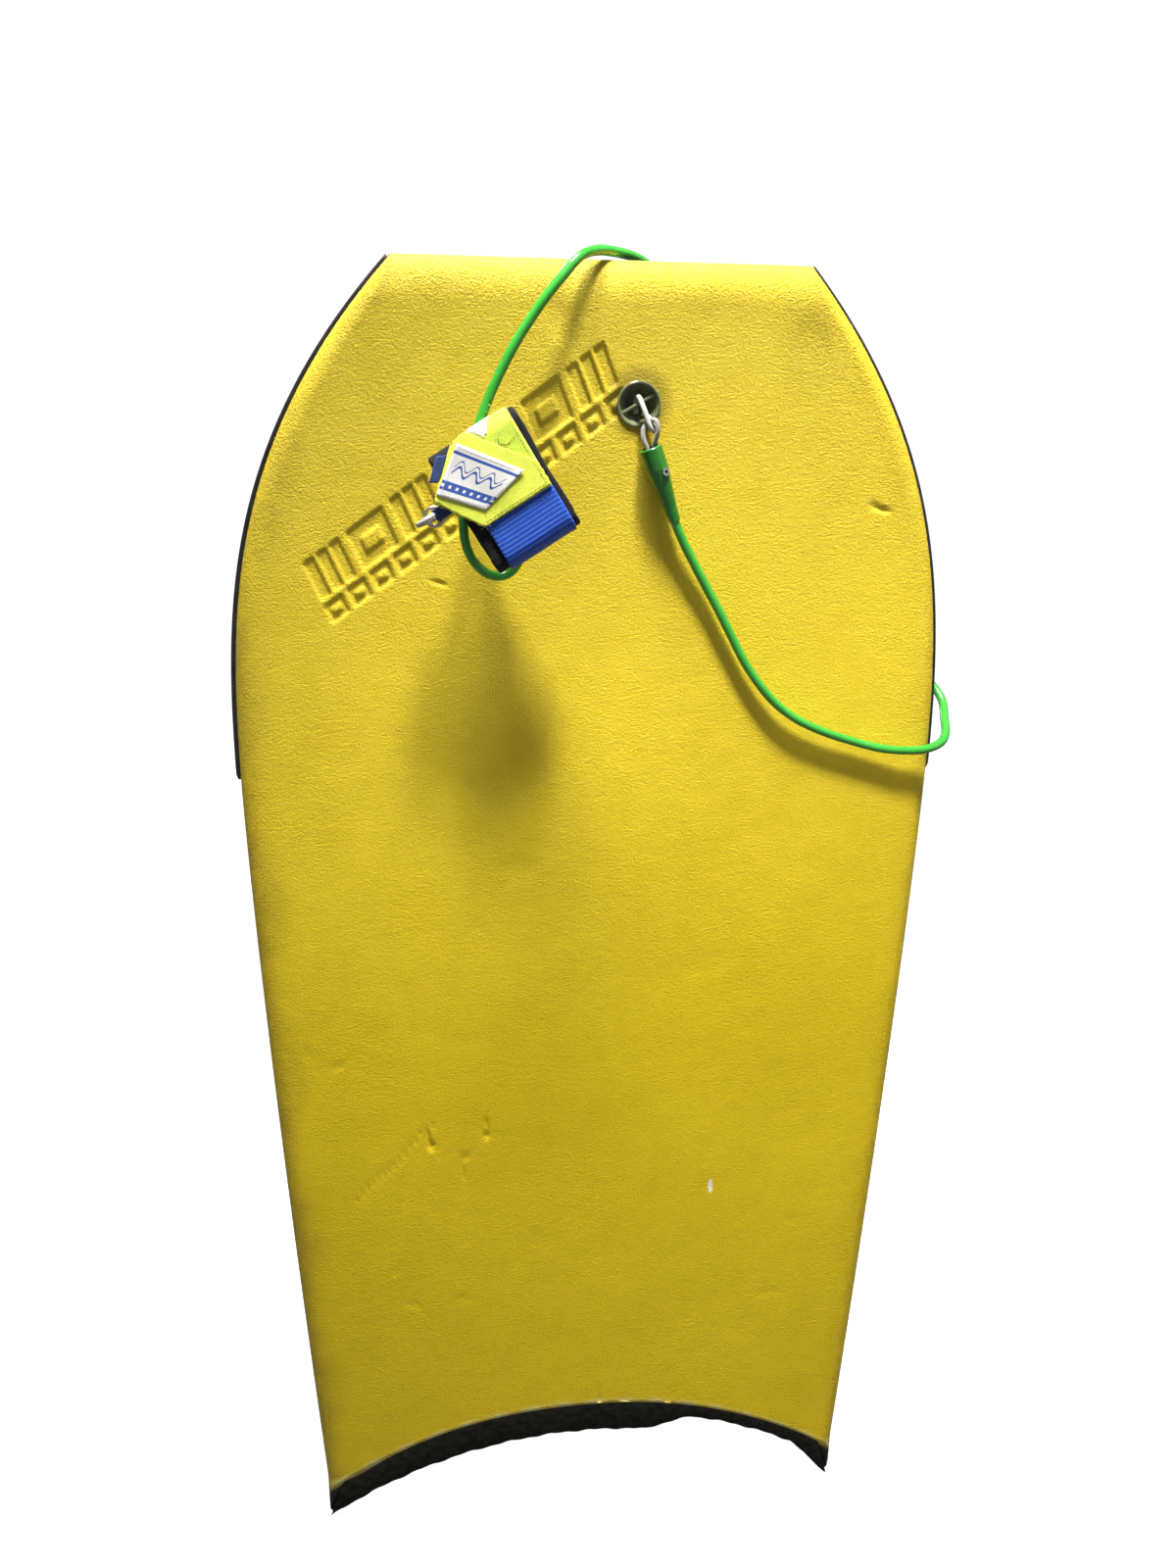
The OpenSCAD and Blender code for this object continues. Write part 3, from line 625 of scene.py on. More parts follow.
def crescent(x):
    """The height of the tail's curved edge."""
    return np.sqrt(CRESCENT_R**2 - x * x) - CRESCENT_R + CRESCENT_DEPTH


def channel(x, z):
    """The depth of the two channels in the slick side, which run out up the board."""
    off = np.abs(np.abs(x) - CHANNEL_X)
    depth = CHANNEL_DEPTH * np.cos(0.5 * math.pi * off / CHANNEL_HALF)
    return np.where(off > CHANNEL_HALF, 0.0, depth * clamp01((CHANNEL_RUN - z) / CHANNEL_RUN))


def level(inset, fixed, share, table=CORE_REACH):
    """A layer's edge: inset from the rail, depth, share of the thickness, and reach at the tail."""
    return inset, fixed, share, float(np.interp(fixed + share * TAIL_THICKNESS, REACH_DEPTHS, table))


def between(a, b, q, table=CORE_REACH):
    """A layer's edge at share q of the way from a to b."""
    inset, fixed, share = (a[k] * (1 - q) + b[k] * q for k in range(3))
    return level(inset, fixed, share, table)


# Where the reach is full, the extra black foam is painted shadow under the tail.
def tail_share(s):
    """The tail's reach is shorter right of the centre, up to near the tip."""
    return np.interp(s, [0.24, 0.42, 0.84, 0.99], [1.0, 0.58, 0.58, 1.0])


def board_point(s, r, lv):
    """Points across at s, -1 to 1, and up at r, 0 at the tail and 1 at the nose."""
    inset, fixed, share, reach = lv
    foot = crescent(s * (HALF_TAIL - inset)) - reach * tail_share(s)
    z = foot + (LENGTH - NOSE_ROUND * inset - foot) * r
    x = s * (half_width(z) - inset)
    y = fixed + share * (thick(z) - channel(x, z)) - kick(z)
    return np.stack([x, y, z], -1)


APEX = level(0, APEX_DEPTH, 0)
APEX_IN = level(SKIN, APEX_DEPTH, 0)
LOW_OUT = level(BEVEL_IN - 0.001, -SLICK, 1)
LOW_IN = level(BEVEL_IN + SKIN, -SLICK, 1)


def layer_mesh(across, up, levels, flip):
    """A full grid at the first level, then rings down the other levels: tail, right rail, nose, left rail."""
    s, r = np.meshgrid(across, up)
    number = np.arange(s.size).reshape(s.shape)
    points, faces = [board_point(s, r, levels[0]).reshape(-1, 3)], grid_faces(number, flip)
    above, count = around(number).tolist(), s.size
    for lv in levels[1:]:
        points.append(board_point(around(s), around(r), lv))
        ring = list(range(count, count + len(above)))
        faces += ring_faces(above, ring) if flip else ring_faces(ring, above)
        above, count = ring, count + len(ring)
    return np.concatenate(points), faces


def on_board(name, points, faces, material, node, slot, extra=()):
    """A piece from points in the board's own place, in metres."""
    return add_mesh(name, points + np.array(ORIGIN), faces, material, [node], slot, extra=extra)


def smooth_step(v):
    v = clamp01(v)
    return v * v * (3 - 2 * v)


# The debossed band: two slanted rows of plain blocks, as frames and bars above, small frames below, in mm
BAND_START = np.array([-219.0, 854.0])
BAND_TURN = math.radians(35.6)
BIG_ROW = (0.0, 29.0)
SMALL_ROW = (33.0, 47.0)
BIG_COUNT, BIG_GAP = 7, 7
SMALL_COUNT, SMALL_GAP = 13, 5
BAND_LENGTH = 275.0
BLOCK_LEAN = 0.22
BLOCK_EDGE = 1.1
DEBOSS = 0.0014


def box_inside(along, across, left, right, low, high):
    """About 1 inside a rectangle and 0 outside, with a soft edge."""
    depth = 1.0
    for inside in (along - left, right - along, across - low, high - across):
        depth = depth * smooth_step(inside / BLOCK_EDGE + 0.5)
    return depth


def deboss(x, z):
    """The depth of the band of blocks."""
    px, pz = x / MM - BAND_START[0], z / MM - BAND_START[1]
    along = px * math.cos(BAND_TURN) + pz * math.sin(BAND_TURN)
    down = px * math.sin(BAND_TURN) - pz * math.cos(BAND_TURN)
    lean = along + BLOCK_LEAN * down
    depth = np.zeros_like(x)
    pitch = BAND_LENGTH / BIG_COUNT
    for k in range(BIG_COUNT):
        left = k * pitch
        block = box_inside(lean, down, left, left + pitch - BIG_GAP, *BIG_ROW)
        if k % 2:
            slot = box_inside(lean, down, left + 8, left + pitch - BIG_GAP - 8, 9, 20)
        else:
            slot = np.maximum(box_inside(lean, down, left + 9, left + 12, -5, 34),
                              box_inside(lean, down, left + 20.5, left + 23.5, -5, 34))
        depth = np.maximum(depth, block - slot)
    pitch = BAND_LENGTH / SMALL_COUNT
    for k in range(SMALL_COUNT):
        left = k * pitch
        block = box_inside(lean, down, left, left + pitch - SMALL_GAP, *SMALL_ROW)
        slot = box_inside(lean, down, left + 4.2, left + pitch - SMALL_GAP - 4.2, 37.4, 42.6)
        depth = np.maximum(depth, block - slot)
    return DEBOSS * depth


def pit(x, z, centre, size, depth, angle):
    """A soft round or long dent, in mm."""
    dx, dz = x / MM - centre[0], z / MM - centre[1]
    c, s = math.cos(angle), math.sin(angle)
    u, v = (dx * c + dz * s) / size[0], (-dx * s + dz * c) / size[1]
    return depth * MM * np.exp(-(u * u + v * v) ** 1.5)


# The deck's dents: (across, up), half sizes, depth and turn
DENTS = [
    ((217, 896), (6.5, 2.2), 1.6, -0.25), ((211, 899), (2.2, 3.4), 1.2, 0.2),
    ((-120, 840), (7, 1.6), 1.0, -0.3), ((-139, 358), (3.6, 3.2), 2.2, 0),
    ((-141, 366), (2.2, 6.0), 1.5, 0.15), ((-91, 366), (2.8, 3.6), 2.2, 0),
    ((-91, 377), (1.8, 6.5), 1.6, 0.1), ((-110, 345), (4.5, 2.2), 1.4, 0.5),
    ((-112, 331), (1.6, 11), 0.9, 0.1),
    ((-161, 197), (6.5, 1.8), 0.9, 0.1), ((-115, 199), (7, 1.8), 0.9, 0.1), ((-154, 192), (1.6, 4), 0.8, 0),
    ((170, 183), (11, 1.6), 0.8, 0.2), ((-173, 233), (5, 1.8), 0.7, 0.6), ((109, 302), (2.2, 7), 0.8, 0.05),
    ((183, 262), (9, 1.4), 0.6, 0), ((-238, 452), (2.0, 6), 1.0, 0.1), ((-215, 438), (7, 1.4), 0.8, 0.4),
    ((236, 606), (1.5, 12), 0.8, 0), ((240, 590), (1.5, 9), 0.6, 0), ((40, 60), (3, 14), 0.8, 0.5),
    ((12, 66), (2, 15), 0.7, 0), ((76, 62), (2, 12), 0.6, -0.3), ((-62, 610), (16, 10), 0.5, 0),
    ((96, 520), (22, 12), 0.4, 0.4), ((150, 1012), (12, 17), 0.9, 0.3), ((-30, 1020), (9, 22), 0.7, 0.5)]


def tooth_marks(x, z):
    """A row of small nicks along a shallow diagonal."""
    depth = np.zeros_like(x)
    for q in np.linspace(0, 1, 15):
        centre = (-204 + 66 * q, 308 + 69 * q + 2.5 * math.sin(9 * q))
        depth += pit(x, z, centre, (1.5, 3.4), 0.9, 0.75)
    return depth


def undulation(x, z):
    """The deck's slight waves."""
    return (0.0005 * np.sin(11 * x + 1.0) * np.sin(7 * z + 0.4) + 0.0003 * np.sin(31 * x - 13 * z)
            + 0.0002 * np.sin(23 * z + 17 * x + 2.0))


def deck_marks(x, z):
    depth = deboss(x, z) + tooth_marks(x, z)
    for dent in DENTS:
        depth += pit(x, z, *dent)
    return depth


def spaced(stops):
    """Values through stops, each (end, step), from 0."""
    out, at = [0.0], 0.0
    for end, step in stops:
        count = max(1, round((end - at) / step))
        out += [at + (end - at) * (k + 1) / count for k in range(count)]
        at = end
    return np.array(out)


def deck():
    """The yellow deck skin, finely meshed where it is debossed, with its rolled shoulders."""
    up = spaced([(0.04, 0.003), (0.72, 0.0036), (0.975, 0.0015), (1.0, 0.0025)])
    right = spaced([(0.13, 0.0058), (1.0, 0.0125)])
    left = spaced([(0.90, 0.0058), (1.0, 0.0125)])
    across = np.concatenate([-left[::-1], right[1:]])
    turns = np.radians(np.linspace(0, 90, 11))
    levels = [level(SHOULDER_IN * (1 - math.sin(a)), APEX_DEPTH * (1 - math.cos(a)), 0, DECK_REACH)
              for a in turns]
    levels += [APEX_IN, level(SHOULDER_IN, SKIN, 0)]
    points, faces = layer_mesh(across, up, levels, flip=True)
    x, z = points[:, 0].copy(), points[:, 2].copy()
    rim = np.minimum(half_width(z) - np.abs(x), LENGTH - z)
    calm = smooth_step((rim - 0.004) / 0.03)
    count = len(across) * len(up)
    points[:, 1] += undulation(x, z) * calm
    points[:count, 1] += deck_marks(x[:count], z[:count])
    # The rail band: grime along both rails, with painted shade making it about three times as strong on the
    # left.
    fade = (1 - smooth_step((rim + 0.006 * np.sin(40 * z) - 0.002) / 0.030)) * np.where(x > 0, 0.35, 1.0)
    near_tail = 1 - smooth_step((z - crescent(x) - 0.001) / 0.006)
    bare = 0.75 * near_tail * (0.6 + 0.4 * np.sin(210 * x))
    # Deck skin below the tail's edge is painted near black, as part of the painted shadow band under the
    # tail.
    skirt = smooth_step((crescent(x) - z - 0.0042) / 0.002) * (points[:, 1] + kick(z) > 0.002)
    extra = {"rim": fade * (1 - near_tail), "bare": bare * (1 - skirt), "skirt": skirt}
    away = np.hypot(x - PLUG_X, z - PLUG_Z)
    faces = [face for face in faces if away[face].max() > PLUG_HOLE]
    return on_board("deck_foam_skin", points, faces, DECK_FOAM, "deck_skin", "deck_foam", extra)


def core():
    """The foam core, just inside the skins and clear of the plug."""
    across, up = np.linspace(-1, 1, 101), np.linspace(0, 1, 161)
    gap = 0.4 * MM
    levels = [level(SHOULDER_IN + gap, SKIN + gap, 0), level(SKIN + gap, APEX_DEPTH, 0),
              level(BEVEL_IN + SKIN + gap, -SLICK - gap, 1)]
    points, faces = layer_mesh(across, up, levels, flip=True)
    away = np.hypot(points[:, 0] - PLUG_X, points[:, 2] - PLUG_Z)
    faces = [face for face in faces if away[face].min() > PLUG_HOLE + 0.002]
    return on_board("foam_core_block", points, faces, CORE_FOAM, "foam_core", "core_foam")


def slick():
    up = spaced([(1.0, 0.006)])
    across = np.linspace(-1, 1, 121)
    levels = [level(BEVEL_IN + 0.0015, 0, 1), level(BEVEL_IN, -0.0006, 1), LOW_OUT]
    points, faces = layer_mesh(across, up, levels, flip=False)
    return on_board("slick_sheet", points, faces, SLICK_SHEET, "slick_skin", "slick")


def strip_mesh(stations):
    """A closed section lofted through stations, with flat ends."""
    stations = np.asarray(stations)
    count, size = stations.shape[:2]
    faces = []
    for k in range(count - 1):
        low = [k * size + e for e in range(size)]
        faces += ring_faces(low, [e + size for e in low])
    last = (count - 1) * size
    faces.append(list(range(size))[::-1])
    faces.append([last + e for e in range(size)])
    return stations.reshape(-1, 3), faces


OUTER = [between(APEX, LOW_OUT, q) for q in np.linspace(0, 1, 11)]
RAIL_LEVELS = OUTER + [LOW_IN, between(APEX_IN, LOW_IN, 0.5), APEX_IN]


def belly(q):
    """How far the rail's face stands out between its edges."""
    return 0.0009 * math.sin(math.pi * q)


def rail(side, name, node):
    rows = np.linspace(0, 1, 241)
    levels = RAIL_LEVELS if side > 0 else RAIL_LEVELS[::-1]
    stations = np.stack([board_point(np.full_like(rows, side), rows, lv) for lv in levels], 1)
    for k, lv in enumerate(levels):
        if lv in OUTER:
            stations[:, k, 0] += side * belly(OUTER.index(lv) / 10)
    return on_board(name, *strip_mesh(stations), RAIL_FOAM, node, "rail_foam")


def nose():
    cols = np.linspace(1, -1, 121)
    stations = np.stack([board_point(cols, np.ones_like(cols), lv) for lv in RAIL_LEVELS], 1)
    return on_board("nose_foam_skin", *strip_mesh(stations), RAIL_FOAM, "nose_skin", "rail_foam")


def tail():
    """The tail skin, with a softly rounded lip, and a painted grey highlight along the deck's edge, where the
    lip would catch the light.
    """
    cols = np.linspace(-1, 1, 161)
    cut = level(SHOULDER_IN, SKIN, 0, TAIL_REACH)
    outer = [between(cut, level(0, APEX_DEPTH, 0), q, TAIL_REACH) for q in np.linspace(0, 1, 6)]
    outer += [between(APEX, LOW_OUT, q, TAIL_REACH) for q in np.linspace(0.06, 1, 15)]
    outer += [level(BEVEL_IN, 0, 1, TAIL_REACH)]
    inner = [level(BEVEL_IN, 0, 1), LOW_OUT, between(APEX, LOW_OUT, 0.72), between(APEX, LOW_OUT, 0.42), APEX,
             level(SHOULDER_IN, SKIN, 0)]
    stations = np.stack([board_point(cols, np.zeros_like(cols), lv) for lv in outer + inner], 1)
    # The painted highlight: strongest at the deck's edge, fading down the lip, then a faint band.
    rim = np.zeros(stations.shape[:2])
    rim[:, :7] = np.linspace(1, 0.25, 7)
    rim[:, 7:10] = 0.12
    ripple = 0.0006 * np.sin(37 * cols) + 0.0005 * np.sin(83 * cols + 1)
    stations[:, 4:len(outer) - 1, 2] += ripple[:, None]
    return on_board("tail_foam_skin", *strip_mesh(stations), TAIL_FOAM, "tail_skin", "rail_foam",
                    {"rim": rim.ravel()})


# The bumper's section: share of the way from the rail's apex to its lower edge, and how far it stands out
BUMPER_SECTION = [
    (0.02, 0.0), (0.03, 0.0036), (0.06, 0.0052), (0.12, 0.0062), (0.18, 0.0074), (0.215, 0.0070),
    (0.25, 0.0074), (0.285, 0.0084), (0.34, 0.0108), (0.40, 0.0119), (0.45, 0.0118), (0.48, 0.0105),
    (0.5, 0.0)]


def bumper(side, name, node):
    """The rubber rail strip along the upper half, with a groove and rounded edges."""
    heights = np.linspace(BUMPER_END, LENGTH, 121)
    ease = smooth_step((heights - BUMPER_END) / 0.004) * 0.25 + 0.75
    stations = []
    for q, out in BUMPER_SECTION[::side]:
        inset, fixed, share, _ = between(APEX, LOW_OUT, q)
        x = side * (half_width(heights) - inset + out * (ease if out else 1.0))
        y = fixed + share * thick(heights) - kick(heights)
        stations.append(np.stack([x, y, heights], -1))
    return on_board(name, *strip_mesh(np.stack(stations, 1)), BUMPER, node, "bumper")


deck()
core()
slick()
rail(-1, "left_rail_foam_skin", "rail_skin_left")
rail(1, "right_rail_foam_skin", "rail_skin_right")
nose()
tail()
bumper(-1, "left_rail_bumper", "rail_bumper_left")
bumper(1, "right_rail_bumper", "rail_bumper_right")


def dress(node, material):
    """Gives a CAD node its material."""
    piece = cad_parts[node]
    piece.data.materials.clear()
    piece.data.materials.append(material)


for cad_node, finish, record_slot in (
        ("plug_cup", PLUG, "plug_plastic"), ("plug_cap", PLUG, "plug_plastic"),
        ("leash_boot", BOOT_GREEN, "boot_green"), ("cuff_boot", BOOT_GREEN, "boot_green"),
        ("leash_rivet", STEEL, "steel"), ("cuff_rivet", STEEL, "steel"), ("cuff_ring", STEEL, "steel")):
    dress(cad_node, finish)

# ---------------------------------------------------------------- cuff
CUFF_TURN = math.radians(31.7)
CUFF_AT = np.array([-87, -61, 885.0])
CUFF_U = np.array([math.cos(CUFF_TURN), 0, math.sin(CUFF_TURN)])
CUFF_V = np.array([-math.sin(CUFF_TURN), 0, math.cos(CUFF_TURN)])
CUFF_N = np.array([0, -1.0, 0])
FOLD_LOW = -23.0
FOLD_HIGH = 48.0
FOLD_R = 10.0
FRONT = FOLD_R + 0.05
PAD_T = 3.5
WEB_T = 1.6


def in_cuff(points):
    """Points in the cuff's own place, (across, up, out) in mm, in the frame."""
    p = np.asarray(points, float)
    own = CUFF_AT + p[..., :1] * CUFF_U + p[..., 1:2] * CUFF_V + p[..., 2:3] * CUFF_N
    return own * MM + np.array(ORIGIN)


def track(radius, way):
    """(up, out) on the flattened loop: 0 at the front of the bottom fold, then round the bottom, up the
    back and round the top. Below 0 it goes up the front."""
    run = FOLD_HIGH - FOLD_LOW
    bend = math.pi * radius
    way = np.asarray(way, float)
    up, out = FOLD_LOW - way, np.full_like(way, radius)
    turn = (way > 0) & (way <= bend)
    a = np.where(turn, way / radius, 0)
    up = np.where(turn, FOLD_LOW - radius * np.sin(a), up)
    out = np.where(turn, radius * np.cos(a), out)
    back = (way > bend) & (way <= bend + run)
    up = np.where(back, FOLD_LOW + way - bend, up)
    out = np.where(back, -radius, out)
    over = (way > bend + run) & (way <= 2 * bend + run)
    a = np.where(over, (way - bend - run) / radius, 0)
    up = np.where(over, FOLD_HIGH + radius * np.sin(a), up)
    out = np.where(over, -radius * np.cos(a), out)
    down = way > 2 * bend + run
    up = np.where(down, FOLD_HIGH - (way - 2 * bend - run), up)
    out = np.where(down, radius, out)
    return up, out


def cloth_mesh(middle, thickness, flat, loop=False):
    """A thick sheet with rounded borders about a grid of middle points, in mm. loop joins the second way.
    thickness is one number, or one for each point."""
    rows, cols = middle.shape[:2]
    across = np.gradient(middle, axis=0)
    if loop:
        wrapped = np.concatenate([middle[:, -1:], middle, middle[:, :1]], 1)
        along = np.gradient(wrapped, axis=1)[:, 1:-1]
    else:
        along = np.gradient(middle, axis=1)
    normal = np.cross(across, along)
    normal /= np.linalg.norm(normal, axis=2)[..., None]
    half = np.broadcast_to(np.asarray(thickness, float) / 2, (rows, cols))[..., None]
    front, back = middle + normal * half, middle - normal * half
    number = np.arange(rows * cols).reshape(rows, cols)
    second, third = rows * cols, 2 * rows * cols
    joined = np.concatenate([number, number[:, :1]], 1) if loop else number
    faces = grid_faces(joined.T, flip=False) + grid_faces(joined.T + second, flip=True)
    if loop:
        borders = [(number[0], -across[0]), (number[-1, ::-1], across[-1, ::-1])]
    else:
        sides = [-across[0, :-1], along[:-1, -1], across[-1, :0:-1], -along[:0:-1, 0]]
        borders = [(around(number), np.concatenate(sides))]
    flat = np.asarray(flat, float).reshape(-1, 2)
    flats, ring_points = [flat, flat], []
    for border, outward in borders:
        outward = outward / np.linalg.norm(outward, axis=1)[:, None]
        ring_points.append(middle.reshape(-1, 3)[border] + outward * half.reshape(-1, 1)[border] * 0.6)
        ring = [third + e for e in range(len(border))]
        faces += ring_faces(border.tolist(), ring)
        faces += ring_faces(ring, (border + second).tolist())
        flats.append(flat[border])
        third += len(border)
    points = np.concatenate([front.reshape(-1, 3), back.reshape(-1, 3), *ring_points])
    flats = np.concatenate(flats)
    return points, faces, np.column_stack([flats, np.zeros(len(flats))])


def add_cloth(name, middle, thickness, flat, material, loop=False, **settings):
    """A cloth piece from a grid in the cuff's place."""
    points, faces, cloth = cloth_mesh(middle, thickness, flat, loop)
    return add_mesh(name, in_cuff(points), faces, material, extra={"cloth": cloth}, **settings)


def along_line(corners, count):
    """count points evenly along a broken line."""
    corners = np.asarray(corners, float)
    gone = gone_along(corners)
    at = np.linspace(0, gone[-1], count)
    return np.stack([np.interp(at, gone, corners[:, k]) for k in range(2)], 1)


def patch(first, last, rows, cols, start=None, end=None):
    """Points of a four-sided piece, from its first side to its last, each of which runs from start to end.
    start and end are straight when they aren't given."""
    a, b = along_line(first, cols), along_line(last, cols)
    c = along_line(start or [first[0], last[0]], rows)
    d = along_line(end or [first[-1], last[-1]], rows)
    v, u = np.meshgrid(np.linspace(0, 1, rows), np.linspace(0, 1, cols), indexing="ij")
    v, u = v[..., None], u[..., None]
    corners = ((1 - v) * (1 - u) * a[0] + (1 - v) * u * a[-1] + v * (1 - u) * b[0] + v * u * b[-1])
    return (1 - v) * a[None] + v * b[None] + (1 - u) * c[:, None] + u * d[:, None] - corners


def grid(first, second):
    """Two grids of values, the first going down the rows and the second along them."""
    return np.meshgrid(first, second, indexing="ij")


def pad():
    """The black neoprene lining: a flattened loop, fuller at its open end."""
    radius = FOLD_R - PAD_T / 2
    total = 2 * math.pi * radius + 2 * (FOLD_HIGH - FOLD_LOW)
    u, way = grid(np.linspace(-8, 57, 45), np.linspace(0, total, 150, endpoint=False))
    up, out = track(radius, way)
    open_end = np.exp(-((u + 8) / 12) ** 2)
    waist = np.sin(math.pi * clamp01((up - FOLD_LOW) / (FOLD_HIGH - FOLD_LOW)))
    out = out * (1 - 0.10 * waist * (1 - open_end))
    wrinkle = 0.35 * np.sin(0.33 * way + 0.5 * np.sin(0.2 * u)) * open_end
    wrinkle += 0.15 * np.sin(0.8 * way + 0.21 * u)
    out = out + wrinkle * np.sign(out) * 0.6
    middle = np.stack([u + 0.5 * np.sin(0.11 * way), up, out], -1)
    piece = add_cloth("cuff_neoprene_pad", middle, PAD_T - 0.3, np.stack([u, way], -1), NEOPRENE, loop=True,
                      nodes=["cuff_pad"], slot="neoprene")
    return piece


RIB = 3.0
WEB_R = FRONT + WEB_T / 2
WEB_FRONT_END = -0.3
WEB_BACK_END = 22.0


def webbing():
    """The ribbed blue webbing around the bottom fold."""
    ways = np.arange(FOLD_LOW - WEB_FRONT_END, math.pi * WEB_R + WEB_BACK_END - FOLD_LOW, 0.42)
    u, way = grid(np.linspace(1.0, 53.5, 34), ways)
    up, out = track(WEB_R, way)
    rib = np.abs(np.sin(math.pi * way / RIB)) ** 0.7
    thickness = 1.15 + 0.55 * rib
    wave = 0.35 * np.sin(0.12 * u + 0.06 * way)
    middle = np.stack([u, up - 0.2 * np.sin(0.1 * u), out + wave * np.sign(out) * 0.5], -1)
    points, faces, cloth = cloth_mesh(middle, thickness, np.stack([u, way], -1))
    # The rib height, which paints shade into the grooves between the ribs.
    groove = np.concatenate([rib.ravel(), rib.ravel(), np.ones(len(points) - 2 * rib.size)])
    return add_mesh("cuff_ribbed_webbing", in_cuff(points), faces, WEBBING, ["cuff_webbing"], "blue_webbing",
                    extra={"cloth": cloth, "groove": groove})


def strap():
    """The lime strap: up the front, over the top fold and down behind."""
    start = math.pi * WEB_R + WEB_BACK_END + 0.3 - FOLD_LOW
    end = 2 * math.pi * WEB_R + 2 * (FOLD_HIGH - FOLD_LOW) - 23.2
    share, way = grid(np.linspace(0, 1, 34), np.linspace(start, end, 90))
    up, out = track(WEB_R, way)
    left = np.where(out > 0, np.interp(up, [0, FOLD_HIGH], [0, 16]), 16)
    left = np.where(up > FOLD_HIGH, 16 + 3 * smooth_step((out + 4) / 12), left)
    u = left + (53 - left) * share
    fluff = 0.16 * np.sin(1.9 * u + 0.7 * way) * np.sin(1.3 * way - 0.4 * u)
    middle = np.stack([u, up, out + fluff * np.sign(out)], -1)
    return add_cloth("cuff_pile_strap", middle, WEB_T - 0.1, np.stack([u, way], -1), PILE,
                     nodes=["cuff_strap"], slot="lime_fabric")


def flat_cloth(name, flat, thickness, material, **settings):
    """A cloth piece that lies flat on the cuff's front, level with the webbing."""
    middle = np.dstack([flat, np.full(flat.shape[:2], WEB_R)])
    return add_cloth(name, middle, thickness, flat, material, **settings)


def tongue():
    """The strap's short end under the flap, which the flap is folded from."""
    flat = patch([(2.3, 6), (-19.5, 32)], [(16, 47), (9, 57)], 34, 26)
    return flat_cloth("cuff_strap_tongue", flat, WEB_T - 0.1, TAPE, slot="lime_fabric")


HINGE_LOW = np.array([-21.0, 32.0])
HINGE_HIGH = np.array([10.0, 58.0])
HINGE_LINE = (HINGE_HIGH - HINGE_LOW) / np.linalg.norm(HINGE_HIGH - HINGE_LOW)
HINGE_SIDE = np.array([HINGE_LINE[1], -HINGE_LINE[0]])
FLAP_OUT = FRONT + WEB_T + 0.35 + WEB_T / 2


def flap_out(points):
    """How far out the flap lies: it bows a little and turns down to the strap at its hinge."""
    away = (points - HINGE_LOW) @ HINGE_SIDE
    along = (points - HINGE_LOW) @ HINGE_LINE
    bow = 0.55 * np.sin(math.pi * clamp01(away / 50)) + 0.25 * np.sin(0.16 * along + 0.09 * away)
    return FLAP_OUT - 0.9 * (1 - smooth_step(away / 4)) + np.maximum(bow, -0.1)


def flap():
    """The wide lime end that is folded over the front and pressed down."""
    hinge = [(-19.5, 31.5), (12, 57.8), (20.5, 59.2)]
    far = [(0, 0.4), (53.5, 1.2), (53.2, 18.3)]
    low = [(-19.5, 31.5), (-11.5, 17.5), (0, 0.4)]
    high = [(20.5, 59.2), (30, 47), (53.2, 18.3)]
    flat = patch(hinge, far, 46, 46, low, high)
    middle = np.dstack([flat, flap_out(flat)])
    middle[..., :2] += 0.25 * np.sin(1.1 * middle[..., 1::-1] + 1.0)
    return add_cloth("cuff_tape_flap", middle[:, ::-1], WEB_T - 0.1, flat[:, ::-1], TAPE, nodes=["cuff_flap"],
                     slot="lime_fabric", body=None)


LABEL_LOW = [(-16.4, 34.8), (6.2, 9.6)]
LABEL_TOP = [(13.2, 55.6), (42.2, 18.2)]
LABEL_LONG, LABEL_WIDE = 49.0, 30.0


def label():
    """The sewn cloth label, with plain bands in place of lettering, and two corners that curl."""
    middle = patch(LABEL_LOW, LABEL_TOP, 26, 40)
    v, u = grid(np.linspace(0, LABEL_WIDE, 26), np.linspace(0, LABEL_LONG, 40))
    far_curl = 0.7 * np.exp(-((u - LABEL_LONG) / 4) ** 2) * clamp01((v - 14) / 16)
    near_curl = 0.5 * np.exp(-(u / 4) ** 2) * clamp01(v / LABEL_WIDE)
    middle = np.dstack([middle, flap_out(middle) + WEB_T / 2 + 0.42 + far_curl + near_curl])
    return add_cloth("cuff_cloth_label", middle[:, ::-1], 0.7, np.stack([u, v], -1)[:, ::-1], LABEL,
                     nodes=["cuff_label"], slot="label_cloth", body="flap")


def tab():
    """The blue tape end beside the hinge."""
    flat = patch([(-16, 44), (-3, 55.5)], [(-11, 41), (3, 52.8)], 8, 20)
    return flat_cloth("cuff_loop_tab", flat, WEB_T - 0.2, TAB_BLUE, nodes=["cuff_tab"], slot="tab_blue")


def torn_patch():
    """The torn white backing that shows on the top fold, with a ragged edge."""
    radius = FRONT + WEB_T + 0.25
    way_top = math.pi * radius + (FOLD_HIGH - FOLD_LOW)
    u, q = grid(np.linspace(23.5, 41, 22), np.linspace(0, 1, 16))
    length = np.interp(u, [23.5, 27, 31, 35, 38, 41], [7, 15, 20, 17, 10, 4]) + 0.8 * np.sin(2.3 * u)
    way = way_top + 0.42 * math.pi * radius + q * length
    up, out = track(radius, way)
    middle = np.stack([u + 0.3 * np.sin(1.7 * way), up, out], -1)
    return add_cloth("cuff_torn_patch", middle, 0.3, np.stack([u, way], -1), PATCH_WHITE,
                     nodes=["cuff_patch"], slot="label_cloth")


